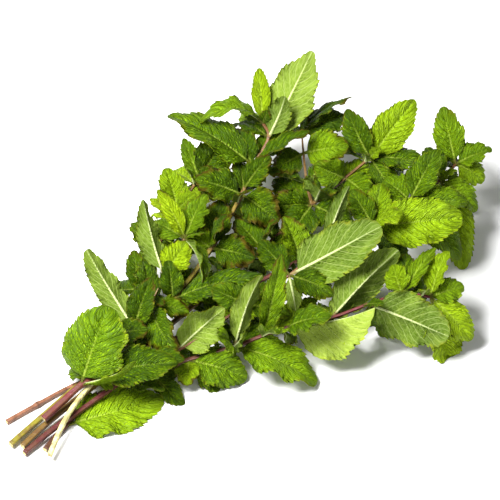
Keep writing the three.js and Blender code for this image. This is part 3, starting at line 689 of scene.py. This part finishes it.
def raised(grown, length, far, v, across, strand, chance):
    """How far each point stands off the blade's smooth middle surface."""
    width, out = grown["width"], np.abs(v)
    inside = np.clip(far * FOOT_FADE, 0, 1) * np.clip((1 - far) * TIP_FADE, 0, 1)
    pillow = np.abs(np.sin(pi * strand)) ** PUCKER_ROUND
    relief = PUCKER * width * pillow * inside * (1 - out ** 5)
    relief *= np.clip(np.abs(across) / FULL_PUCKER, 0, 1)
    relief -= MIDRIB_SINK * width * np.exp(-(across / (MIDRIB_SPREAD * width)) ** 2) * inside
    swell = np.sin(pi * np.clip(out, 0, 1)) * SWELL * width * inside
    wave = np.zeros_like(relief)
    lively = chance.uniform(*LIVELY) * (LIVELIER if length < SHORT_LEAF else 1)
    for sign in (-1, 1):
        waves, start = chance.uniform(*WAVES), chance.random()
        height = (v * sign > 0) * lively * width * out ** WAVE_REACH
        wave += height * np.sin(2 * pi * (far * waves + start)) * inside
    curl = -chance.uniform(*CURL) * width * out ** CURL_REACH * inside
    nod = -chance.uniform(*NOD) * length * np.clip((far - 0.5) * 2, 0, 1) ** 2
    return relief + swell + wave + curl + nod


def two_faces(point, normal, far, out, across):
    """The blade's top and underside, thick at the petiole and thin at the margin, with a rib below."""
    stout = BLADE_THICKNESS + (PETIOLE_THICKNESS - BLADE_THICKNESS) * np.clip(-far * 1.5 + 0.1, 0, 1)
    thick = np.where(far < 0, stout, BLADE_THICKNESS * (1 - EDGE_THINNING * out ** 3))
    rib = RIB_DEPTH * np.exp(-(across / RIB_HALF) ** 2) * np.clip(1.02 - far, 0, 1) * (far >= RIB_START)
    top = point + normal * (thick / 2)[..., None]
    bottom = point - normal * (thick / 2 + rib)[..., None]
    bottom[..., 2] = np.maximum(bottom[..., 2], SOLE)
    return np.concatenate((top.reshape(-1, 3), bottom.reshape(-1, 3)))


def closed_blade(rows, columns):
    """Quads over both faces and round the margin, and the material of each."""
    below = rows * columns
    top = grid(rows, columns)[:, ::-1]
    bottom = grid(rows, columns, below)
    rim = np.concatenate((np.arange(columns), np.arange(1, rows) * columns + columns - 1,
                          (rows - 1) * columns + np.arange(columns - 2, -1, -1),
                          np.arange(rows - 2, 0, -1) * columns))
    following = np.roll(rim, -1)
    wall = np.stack((rim, following, following + below, rim + below), 1)[:, ::-1]
    kinds = np.repeat((TOP, UNDERSIDE, TOP), (len(top), len(bottom), len(wall)))
    return np.vstack((top, bottom, wall)), kinds


def fine_leaf(heap, grown, own):
    """A puckered, toothed and waved blade on its petiole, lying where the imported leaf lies."""
    chance = np.random.default_rng(own)
    length = np.linalg.norm(grown["reach"])
    small = length < SMALL_BLADE
    b, saw, teeth = blade_rows(length)
    half_columns = FEW_COLUMNS if small else COLUMNS
    columns = np.concatenate((-half_columns[:0:-1], half_columns))
    far, v = np.broadcast_arrays(b[:, None], columns[None, :])
    out = np.abs(v)
    left, right = outline(grown, b, saw, teeth, chance)
    across = np.maximum(np.where(v < 0, left[:, None], right[:, None]), LEAST_HALF) * v

    # The blade's middle surface as packed, with a rounded fold.
    share = np.where(b < 0, PETIOLE_SHARE * (1 + b), PETIOLE_SHARE + (1 - PETIOLE_SHARE) * b)[:, None]
    lean = TOOTH_LEAN * saw[:, None] / teeth * out ** 5 * (far > 0)
    middle, side, over = blade_lines(grown, np.clip(share + lean * (1 - share ** 6), 0, 1))
    slope = radians(grown["fold"])
    run = np.sqrt(across ** 2 + FOLD_ROUND ** 2)
    normal = over * cos(slope) - side * (sin(slope) * across / run)[..., None]
    point = (middle + side * (across * cos(slope))[..., None]
             + over * ((run - FOLD_ROUND) * sin(slope))[..., None])

    # The veins, the relief that follows them, and the two faces.
    strand = (far - VEIN_LEAN * out ** VEIN_BEND) * (FEW_VEINS if small else VEINS)
    strand += VEIN_STAGGER * (v > 0)
    point = point + normal * raised(grown, length, far, v, across, strand, chance)[..., None]
    point[..., 2] = np.maximum(point[..., 2], LOWEST_MIDDLE)
    points = two_faces(point, normal, far, out, across)
    faces, kinds = closed_blade(*far.shape)
    tone, worn = leaf_looks(grown, own)
    blade = np.stack((strand, far, across), -1).reshape(-1, 3)
    looks = np.stack((np.full_like(far, tone), out, np.full_like(far, worn)), -1).reshape(-1, 3)
    heap.add(points, faces, kinds, blade=np.vstack((blade, blade)), looks=np.vstack((looks, looks)))


# Where the young, lime leaves are on the drawing, and where leaves are painted lighter to stand in for
# light that the lamps don't bring them: right, up, how far around, and how light they are.
YOUNG_AND_PAINTED_LIGHT = (
    (4, 34, 12, 0.5), (16, 20, 7, 0.8), (22, -2, 14, 0.8), (11, 63, 14, 0.6), (48, 116, 21, 1.0),
    (37, 94, 9, 0.7), (54, 84, 9, 0.9), (68, 38, 11, 0.75), (96, 62, 9, 0.9), (120, 58, 6, 0.8),
    (146, 49, 14, 1.0), (148, 90, 14, 0.3), (101, 188, 10, 0.9), (120, 184, 14, 0.75), (78, 166, 18, 0.65),
    (198, 114, 22, 0.84), (226, 146, 12, 0.7), (202, 78, 12, 0.85), (212, 42, 15, 0.9), (116, 20, 14, 0.6),
)
# And where leaves are darkened with painted shade, as in the heart of the bunch, and the browned ones:
# right, up, how far around.
PAINTED_SHADE_SPOTS = ((84, 112, 46), (194, 48, 13))
BROWNED = ((95, 125, 12), (111, 100, 10), (74, 112, 10), (52, 46, 14), (122, 140, 9), (84, 84, 9))
SEEN_AT = 0.55  # of a leaf's length: its middle on the drawing
TONE_SEED, WORN_SEED = 1000, 2000
USUAL_TONE, USUAL_WEAR = (1.2, 1.6), (0.8, 1.6)  # of beta distributions


def nearness(at, spots):
    """How near a place on the drawing is to each spot, from 0 to 1."""
    return [exp(-((at[0] - x) ** 2 + (at[1] - y) ** 2) / reach ** 2) for x, y, reach, *_ in spots]


def leaf_looks(grown, own):
    """How light a leaf's green is, from 0 for darkest to 1 for lime, with painted shade and painted light
    in it, and how worn its edge is.
    """
    at = (grown["base"] + grown["reach"] * SEEN_AT) @ np.stack((RIGHT, UP), 1)
    near = nearness(at, YOUNG_AND_PAINTED_LIGHT)
    # Lightness of young leaves, and painted light on leaves that the lamps leave too dark.
    young_and_painted_light = max(share * light for share, (*_, light) in zip(near, YOUNG_AND_PAINTED_LIGHT))
    # Painted shade: how near the leaf lies to a spot where its green is darkened for shade.
    painted_shade = max(nearness(at, PAINTED_SHADE_SPOTS))
    usual = np.random.default_rng(TONE_SEED + own).beta(*USUAL_TONE)
    tone = usual ** (1 + painted_shade) * (0.75 - 0.1 * painted_shade) * (1 - max(near)) + young_and_painted_light + 0.1 * (usual - 0.5)
    wear = np.random.default_rng(WORN_SEED + own).beta(*USUAL_WEAR) * (0.5 + 0.9 * painted_shade)
    worn = wear * (1 - 0.6 * max(near)) + 0.8 * max(nearness(at, BROWNED))
    return float(np.clip(tone, 0, 1)), float(np.clip(worn, 0, 1))


# ---- Fine stems: shares of the stem's radius, or millimetres where a line says so ----

RING = 16  # points around
RINGS_PER_SPAN = 16
CORNER = 7  # how square the section is: 2 is round
HOLLOW, HOLLOW_POWER = 0.12, 4  # of its sides
KNOT = 0.14  # how much a node stands out
LOWEST_KNOT = 0.4  # and the one nearest the cut end, where it shows
KNOT_LENGTH = 0.07  # of the span between two nodes
KNOTS_FROM, USUAL_KNOTS = {"thin_stem": 1}, 3  # the lowest node that stands out
LIP, LIP_DEPTH = 0.72, 0.25  # the cut end: its rim's share, and how far it is sunk, in millimetres
PITH, PITH_DEPTH = 0.08, 0.55
TIP, TIP_LENGTH = 0.1, 0.6
WALL, CUT = 0, 1


def stem_section():
    """Across and up around a square section with rounded corners and hollowed sides."""
    angle = np.arange(RING) * 2 * pi / RING + pi / 4
    square = 1 / (np.abs(np.cos(angle)) ** CORNER + np.abs(np.sin(angle)) ** CORNER) ** (1 / CORNER)
    reach = square * (1 - HOLLOW * np.cos(2 * angle) ** HOLLOW_POWER)
    return angle, np.cos(angle) * reach, np.sin(angle) * reach


def stem_faces(rings):
    """Quads along the stem, over its sunken cut end and over its tip, and the material of each."""
    k = np.arange(RING)
    n = (k + 1) % RING
    last, lip = (rings - 1) * RING, rings * RING
    pith, tip = lip + RING, lip + 2 * RING
    seal = np.array([[0, i + 1, i + 2, i + 3] for i in range(0, RING - 3, 2)])
    walls = grid(rings, RING, closed=True)[:, ::-1]
    lip_faces = np.stack((k, n, lip + n, lip + k), 1)
    pith_faces = np.stack((lip + k, lip + n, pith + n, pith + k), 1)
    tip_faces = np.stack((last + k, tip + k, tip + n, last + n), 1)
    parts = ((walls, WALL), (lip_faces, CUT), (pith_faces, CUT), (tip_faces, WALL),
             (pith + seal, CUT), (tip + seal[:, ::-1], WALL))
    faces = np.vstack([part for part, _ in parts])
    return faces, np.concatenate([np.full(len(part), kind) for part, kind in parts])


def fine_stem(heap, nodes, radius, lowest_knot):
    """A square stem with swollen nodes, cut across at its lower end."""
    route = Route(nodes)
    spans = len(nodes) - 1
    rings = spans * RINGS_PER_SPAN + 1
    share = np.linspace(0, 1, rings)
    ahead = route.ahead(share)
    side = np.cross(ahead, SKY)
    side /= np.linalg.norm(side, axis=1)[:, None]
    over = np.cross(side, ahead)

    # Its radius, which tapers and swells at the nodes that stand out.
    nearest = np.round(share * spans)
    to_node = np.abs(share * spans - nearest)
    inner = (nearest >= lowest_knot) & (nearest < spans)
    knot = np.where(nearest == 1, LOWEST_KNOT, KNOT) * inner * np.exp(-(to_node / KNOT_LENGTH) ** 2)
    size = radius * SQUARENESS * (1 - (1 - STEM_TAPER) * share) * (1 + knot)
    angle, across, up = stem_section()
    ring = across[None, :, None] * side[:, None, :] + up[None, :, None] * over[:, None, :]
    points = route.point(share)[:, None, :] + ring * size[:, None, None]
    points[..., 2] = np.maximum(points[..., 2], SOLE)

    # The cut end is sunk a little and the tip is closed to a point.
    start, end = route.point(0)[0], route.point(1)[0]
    lip = start + (points[0] - start) * LIP + ahead[0] * LIP_DEPTH
    pith = start + (points[0] - start) * PITH + ahead[0] * PITH_DEPTH
    tip = end + (points[-1] - end) * TIP + ahead[-1] * size[-1] * TIP_LENGTH
    wall_facts = np.stack((np.repeat(share, RING), np.repeat(np.where(inner, to_node, 1), RING),
                           np.tile(angle, rings)), 1)
    end_facts = np.zeros((3 * RING, 3))
    end_facts[2 * RING:, 0] = 1
    end_facts[:RING, 1] = 1
    heap.add(np.vstack((points.reshape(-1, 3), lip, pith, tip)), *stem_faces(rings),
             along=np.vstack((wall_facts, end_facts)))


# ---- Materials ----


def colour(tones):
    """From sRGB, 0 to 255, to linear light."""
    shares = [tone / 255 for tone in tones]
    return [v / 12.92 if v <= 0.04045 else ((v + 0.055) / 1.055) ** 2.4 for v in shares] + [1.0]


class Graph:
    """A material's nodes, written as calls. An input is a number, an sRGB colour or a node's output."""

    def __init__(self, name):
        self.material = bpy.data.materials.new(name)
        self.material.use_nodes = True
        self.tree = self.material.node_tree
        self.tree.nodes.clear()

    def made(self, kind, inputs, **settings):
        made = self.tree.nodes.new("ShaderNode" + kind)
        for key, value in settings.items():
            setattr(made, key, value)
        for key, value in inputs.items():
            if isinstance(value, bpy.types.NodeSocket):
                self.tree.links.new(value, made.inputs[key])
            else:
                made.inputs[key].default_value = colour(value) if isinstance(value, tuple) else value
        return made

    def add(self, kind, inputs, output=0, **settings):
        return self.made(kind, inputs, **settings).outputs[output]

    def math(self, operation, a, b=0.0, c=0.0, clamp=False):
        return self.add("Math", {0: a, 1: b, 2: c}, operation=operation, use_clamp=clamp)

    def times(self, a, b):
        return self.math("MULTIPLY", a, b)

    def line(self, value, slope, start, clamp=False):
        return self.math("MULTIPLY_ADD", value, slope, start, clamp)

    def ease(self, value, low, high, to_low=0.0, to_high=1.0):
        return self.add("MapRange", {0: value, 1: low, 2: high, 3: to_low, 4: to_high},
                        interpolation_type="SMOOTHSTEP")

    def mix(self, share, a, b):
        """Colours a and b, by their numbered sockets."""
        return self.add("Mix", {0: share, 6: a, 7: b}, 2, data_type="RGBA")

    def tint(self, base, where, amount, tinge):
        """The base colour, turned towards the tinge by the amount where the pattern is 1."""
        return self.mix(self.times(where, amount), base, tinge)

    def fact(self, name):
        """The three numbers of a vertex attribute."""
        vector = self.add("Attribute", {}, "Vector", attribute_name=name)
        return self.made("SeparateXYZ", {0: vector}).outputs[:]

    def place(self):
        return self.add("TexCoord", {}, "Object")

    def joined(self, x, y, z):
        return self.add("CombineXYZ", {0: x, 1: y, 2: z})

    def noise(self, where, scale, detail=3.0, rough=0.55):
        return self.add("TexNoise", {"Vector": where, "Scale": scale, "Detail": detail, "Roughness": rough})

    def bump(self, height, strength, distance):
        return self.add("Bump", {"Strength": strength, "Distance": distance, "Height": height})

    def principled(self, base, rough, gloss=0.5, **normal):
        return self.add("BsdfPrincipled", {"Base Color": base, "Roughness": rough,
                                           "Specular IOR Level": gloss, **normal})

    def finish(self, surface):
        self.made("OutputMaterial", {"Surface": surface})
        return self.material


# A leaf's two faces: their greens, how the midrib's colour fades towards the tip, and their gloss.
TOP_FACE = SimpleNamespace(
    dark=(74, 114, 4), light=(150, 192, 20), lime=(186, 218, 24), rib=(168, 188, 70),
    petiole=(140, 140, 62), rib_fades=(0.15, 0.75, 0.5, 0.1), up=1.0, bump=0.95, gloss=0.15,
    dullest=0.5, polish=-0.36)
UNDERSIDE_FACE = SimpleNamespace(
    dark=(70, 96, 16), light=(114, 140, 38), lime=(158, 180, 66), rib=(214, 224, 158),
    petiole=(150, 128, 76), rib_fades=(0.3, 0.95, 0.95, 0.3), up=-1.0, bump=0.55, gloss=0.1,
    dullest=0.68, polish=-0.15)
PALE_VEIN = (190, 206, 120)
# Greens of the painted shade in the top's wrinkles, net and sunken side veins.
WRINKLE_SHADE_GREEN, NET_SHADE_GREEN, CREASE_SHADE_GREEN = (48, 76, 0), (42, 66, 0), (46, 72, 2)
MARGIN_YELLOW, DRIED, BROWNED_EDGE = (170, 178, 36), (118, 108, 18), (78, 60, 14)
THROUGH_GREEN = (205, 220, 6)  # of the light that shines through
THROUGH_SHARE = 0.24
LEAF_BUMP_DISTANCE = 0.0012
NET_SCALE = (3.8, 0.55)  # cells of the net to a side vein, and to a millimetre across
FOLD_STRETCH = 0.07  # wrinkles are drawn out along the side veins by this
PATTERN_SHIFT = 40.0  # worn is each leaf's own number, so it also moves its pattern
PATCH_SCALE, FLECK_SCALE, GRAIN_SCALE, WRINKLE_SCALE = 42.0, 210.0, 900.0, 2.6


def leaf_pattern(g):
    """The patterns of a leaf's face, most from 0 to 1: veins, net, wrinkles, blotches and petiole."""
    where = g.place()
    strand, far, across = g.fact("blade")
    tone, out, worn = g.fact("looks")
    to_vein = g.math("PINGPONG", strand, 0.5)
    lateral = g.times(g.ease(to_vein, 0.015, 0.11, 1.0, 0.0), g.ease(out, 0.75, 1.0, 1.0, 0.25))
    girth = g.math("MAXIMUM", g.line(far, -0.45, 0.62), 0.12)
    midrib = g.ease(g.math("DIVIDE", g.math("ABSOLUTE", across), girth), 0.7, 1.5, 1.0, 0.0)
    shifted = g.times(worn, PATTERN_SHIFT)
    weave = g.joined(g.times(strand, NET_SCALE[0]), g.times(across, NET_SCALE[1]), shifted)
    net = g.add("TexVoronoi", {"Vector": weave, "Scale": 1.0}, feature="DISTANCE_TO_EDGE")
    folds = g.joined(strand, g.times(across, FOLD_STRETCH), shifted)
    return SimpleNamespace(
        far=far, tone=tone, out=out, worn=worn, lateral=lateral, midrib=midrib,
        mesh=g.ease(net, 0.0, 0.26, 1.0, 0.0), dome=g.ease(net, 0.0, 0.5),
        wrinkle=g.noise(folds, WRINKLE_SCALE, 3.0, 0.6),
        blotch=g.ease(g.noise(where, PATCH_SCALE), 0.35, 0.68),
        grain=g.noise(where, GRAIN_SCALE, 3.0, 0.6), fleck=g.noise(where, FLECK_SCALE, 4.0, 0.65),
        petiole=g.ease(far, -0.35, 0.02, 1.0, 0.0))


def leaf_green(g, p, face):
    """The green, blotched and flecked, from dark in old leaves to lime in young ones, and darkened by
    painted shade and lightened by painted light where the tone holds them.
    """
    base = g.mix(g.line(p.blotch, 0.5, g.times(p.tone, 0.7), clamp=True), face.dark, face.light)
    base = g.mix(g.ease(p.tone, 0.55, 1.0), base, face.lime)
    return g.tint(base, g.ease(p.fleck, 0.5, 0.75), 0.3, face.lime)


def pale_veins(g, p, base, face):
    """The underside: veins and net paler than the blade."""
    base = g.tint(base, g.ease(p.wrinkle, 0.35, 0.65), 0.3, face.dark)
    base = g.tint(base, p.mesh, 0.12, PALE_VEIN)
    return g.tint(base, p.lateral, 0.32, PALE_VEIN)


def painted_crease_shade(g, p, base, face):
    """The top: a painted highlight on the domes, and painted shade in the wrinkles, the net and the sunken
    side veins between them. The painted shade is fainter on leaves of lighter tone, so young leaves look
    smoother.
    """
    # Painted highlight: the tops of the domes are turned towards lime.
    base = g.tint(base, p.dome, 0.25, face.lime)
    # Painted shade: the wrinkles, the net between the domes and the sunken side veins are darkened, more on
    # leaves of darker tone.
    crease_shade_depth = g.ease(p.tone, 0.1, 0.9, 1.5, 0.45)
    base = g.tint(base, g.ease(p.wrinkle, 0.4, 0.6), g.times(crease_shade_depth, 0.46), WRINKLE_SHADE_GREEN)
    base = g.tint(base, p.mesh, g.times(crease_shade_depth, 0.64), NET_SHADE_GREEN)
    return g.tint(base, p.lateral, 0.35, CREASE_SHADE_GREEN)


def dried_edge(g, p, base):
    """The margin yellows in flecks, and on a worn leaf it dries to brown from the tip inwards."""
    base = g.tint(base, g.times(g.ease(p.out, 0.84, 1.0), g.ease(p.fleck, 0.4, 0.66)), 0.5, MARGIN_YELLOW)
    reach = g.math("ADD", g.times(p.out, 0.55), g.times(p.far, 0.35))
    dried = g.math("ADD", g.line(p.worn, 0.2, reach), g.line(p.fleck, 0.7, -0.41))
    dried = g.times(g.ease(dried, 0.62, 0.95), g.ease(p.worn, 0.05, 0.4))
    base = g.tint(base, dried, 0.75, DRIED)
    return g.tint(base, g.ease(dried, 0.35, 0.8), 0.8, BROWNED_EDGE)


def leaf_material(name, face, vein_look_and_crease_shade):
    """One face of a leaf, with some light shining through it."""
    g = Graph(name)
    p = leaf_pattern(g)
    base = dried_edge(g, p, vein_look_and_crease_shade(g, p, leaf_green(g, p, face), face))
    base = g.tint(base, p.midrib, g.ease(p.far, *face.rib_fades), face.rib)
    base = g.tint(base, p.petiole, 0.85, face.petiole)
    height = g.line(p.lateral, -0.6 * face.up, g.times(p.dome, 0.9 * face.up))
    height = g.line(p.grain, 0.15, g.line(p.wrinkle, -0.7 * face.up, height))
    bump = g.bump(height, face.bump, LEAF_BUMP_DISTANCE)
    glint = g.times(g.ease(p.fleck, 0.45, 0.62), p.dome)
    shine = g.principled(base, g.line(glint, face.polish, face.dullest), face.gloss, Normal=bump)
    through = g.mix(0.5, base, THROUGH_GREEN)
    glow = g.add("BsdfTranslucent", {"Color": through, "Normal": bump})
    return g.finish(g.add("MixShader", {0: THROUGH_SHARE, 1: shine, 2: glow}))


STREAK_BROWN, SCAR_BROWN, KNOT_BROWN = (88, 58, 38), (60, 40, 28), (66, 42, 28)
STEM_GLOSS = 0.25


def stem_material(name, low, high):
    """Streaked and scarred bark, from the colour at the stem's cut end to that at its tip, with a painted
    highlight along its corner ridges.
    """
    g = Graph(name)
    where = g.place()
    along, to_node, angle = g.fact("along")
    streak = g.noise(where, 190.0, 5.0, 0.65)
    scar = g.noise(where, 420.0, 3.0, 0.7)
    grain = g.noise(where, 1400.0, 3.0, 0.6)
    base = g.mix(g.ease(g.line(g.math("SUBTRACT", streak, 0.5), 0.5, along), 0.35, 0.95), low, high)
    base = g.tint(base, g.ease(streak, 0.45, 0.62), 0.6, STREAK_BROWN)
    base = g.tint(base, g.ease(scar, 0.56, 0.66), 0.5, SCAR_BROWN)
    # Painted highlight: the square stem's corner ridges are turned towards the tip's colour.
    ridge_highlight = g.ease(g.math("PINGPONG", g.math("DIVIDE", angle, pi / 2), 0.5), 0.3, 0.5)
    base = g.tint(base, ridge_highlight, 0.25, high)
    base = g.mix(g.ease(to_node, 0.0, 0.06, 0.8, 0.0), base, KNOT_BROWN)
    height = g.line(streak, 0.9, g.line(scar, -0.5, g.times(grain, 0.3)))
    bump = g.bump(height, 0.8, 0.0006)
    return g.finish(g.principled(base, g.line(streak, 0.3, 0.24), STEM_GLOSS, Normal=bump))


def cut_material():
    """The pale, fibrous cut end."""
    g = Graph("stem_cut_end")
    fibre = g.noise(g.place(), 1500.0, 4.0, 0.7)
    base = g.mix(g.ease(fibre, 0.35, 0.7), (206, 196, 140), (150, 124, 78))
    return g.finish(g.principled(base, g.line(fibre, 0.2, 0.65), Normal=g.bump(fibre, 0.8, 0.0003)))


LEAF_LOOKS = [leaf_material("leaf_top", TOP_FACE, painted_crease_shade),
              leaf_material("leaf_underside", UNDERSIDE_FACE, pale_veins)]
CUT_LOOK = cut_material()
BARKS = {  # at the cut end and at the tip
    "pale_stem": ((212, 206, 140), (136, 98, 60)),
    "purple_stem": ((96, 36, 38), (118, 92, 46)),
    "olive_stem": ((124, 116, 36), (112, 76, 44)),
    "brown_stem": ((104, 80, 36), (108, 80, 40)),
    "dark_purple_stem": ((80, 34, 34), (104, 70, 42)),
    "thin_stem": ((134, 92, 70), (124, 80, 54)),
    "low_stem": ((72, 46, 32), (102, 38, 48)),
}

# ---- The bunch ----


def sketched_stem(one):
    """A stem with its layout's leaves and shoots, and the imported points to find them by."""
    leaves, wood = [], []
    grow(one["nodes"], one["radius"], leaves, wood)
    return {**one, "tree": packed_tree(one["name"]), "leaves": leaves, "placed": [], "wood": wood}


def place_leaves(bunch):
    """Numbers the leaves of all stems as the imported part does, and finds each one."""
    numbers = count(1)
    for late in (False, True):
        for one in bunch:
            for sketched in one["leaves"]:
                if sketched.get("late", False) == late:
                    own = next(numbers)
                    one["placed"].append((own, as_packed(sketched, own, one["tree"])))
    for _ in range(SHOOTS_PER_STEM):
        for one in bunch:
            own = next(numbers)
            one["placed"].append((own, axil_leaf(one["nodes"], own, one["tree"])))


def dress(one):
    """Replaces a packed stem with its foliage and its stalk."""
    name = one["name"]
    foliage, bark = Heap(), Heap()
    for own, found in one["placed"]:
        if found is not None:
            fine_leaf(foliage, found, own)
    for nodes, radius in one["wood"]:
        lowest_knot = KNOTS_FROM.get(name, USUAL_KNOTS) if nodes is one["nodes"] else 1
        fine_stem(bark, nodes, radius, lowest_knot)
    leaves = foliage.piece(name + "_leaves", LEAF_LOOKS)
    stalk = bark.piece(name + "_stalk", [stem_material(name + "_bark", *BARKS[name]), CUT_LOOK])
    for made in (leaves, stalk):
        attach(made, "root")
        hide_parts(name)


bunch = [sketched_stem(one) for one in STEMS]
place_leaves(bunch)
for one in bunch:
    dress(one)

# ---- The surface, the light and the camera: metres, and directions as right, up and near ----

SURFACE_HALF, SURFACE_DROP = 3.0, 0.0003
SURFACE_DARK, SURFACE_LIGHT = [0.88, 0.88, 0.88, 1], [0.91, 0.91, 0.905, 1]  # linear light
CENTRE = Vector(to_metres([place((96, 90, 0))])[0])  # what the camera looks at, on the drawing
WORLD_LIGHT = 0.23
PICTURE_WIDTH = 0.3
CAMERA_DISTANCE = 4.0
SENSOR = 36  # millimetres
FARTHEST_SEEN = 20


def flat_surface():
    """A plain pale floor, a little below the leaves that lie on it."""
    mesh = bpy.data.meshes.new("surface")
    corners = ((-1, -1), (1, -1), (1, 1), (-1, 1))
    mesh.from_pydata([(x * SURFACE_HALF, y * SURFACE_HALF, -SURFACE_DROP) for x, y in corners],
                     [], [(0, 1, 2, 3)])
    g = Graph("surface_white")
    base = g.mix(g.noise(g.place(), 40.0), SURFACE_DARK, SURFACE_LIGHT)
    mesh.materials.append(g.finish(g.principled(base, 0.9)))
    in_scene("surface", mesh)


def stand(made, way, distance):
    """Puts it this way and far from the centre, and faces it there."""
    made.location = CENTRE + Vector(to_metres([way * distance * METRE])[0])
    made.rotation_euler = (CENTRE - made.location).to_track_quat("-Z", "Y").to_euler()


def light(name, towards, distance, size, power):
    """A soft square light."""
    data = bpy.data.lights.new(name, "AREA")
    data.shape = "SQUARE"
    data.size, data.energy = size, power
    stand(in_scene(name, data), unit(offset(towards)), distance)


def pale_world():
    world = bpy.data.worlds.new("studio")
    bpy.context.scene.world = world
    world.use_nodes = True
    background = world.node_tree.nodes["Background"].inputs
    background["Color"].default_value = (1, 1, 1, 1)
    background["Strength"].default_value = WORLD_LIGHT


def camera():
    """Seen from far off with a long lens, square to the drawing."""
    made = in_scene("camera", bpy.data.cameras.new("camera"))
    made.data.sensor_width = SENSOR
    made.data.lens = SENSOR * CAMERA_DISTANCE / PICTURE_WIDTH
    made.data.clip_end = FARTHEST_SEEN
    stand(made, NEAR, CAMERA_DISTANCE)
    return made


flat_surface()
light("key", towards=(-0.42, 0.42, 0.8), distance=1.4, size=0.6, power=60)
light("fill", towards=(0.3, -0.6, 0.75), distance=1.6, size=1.4, power=10)
pale_world()
bpy.context.scene.camera = camera()
bpy.context.scene.view_settings.view_transform = "Standard"
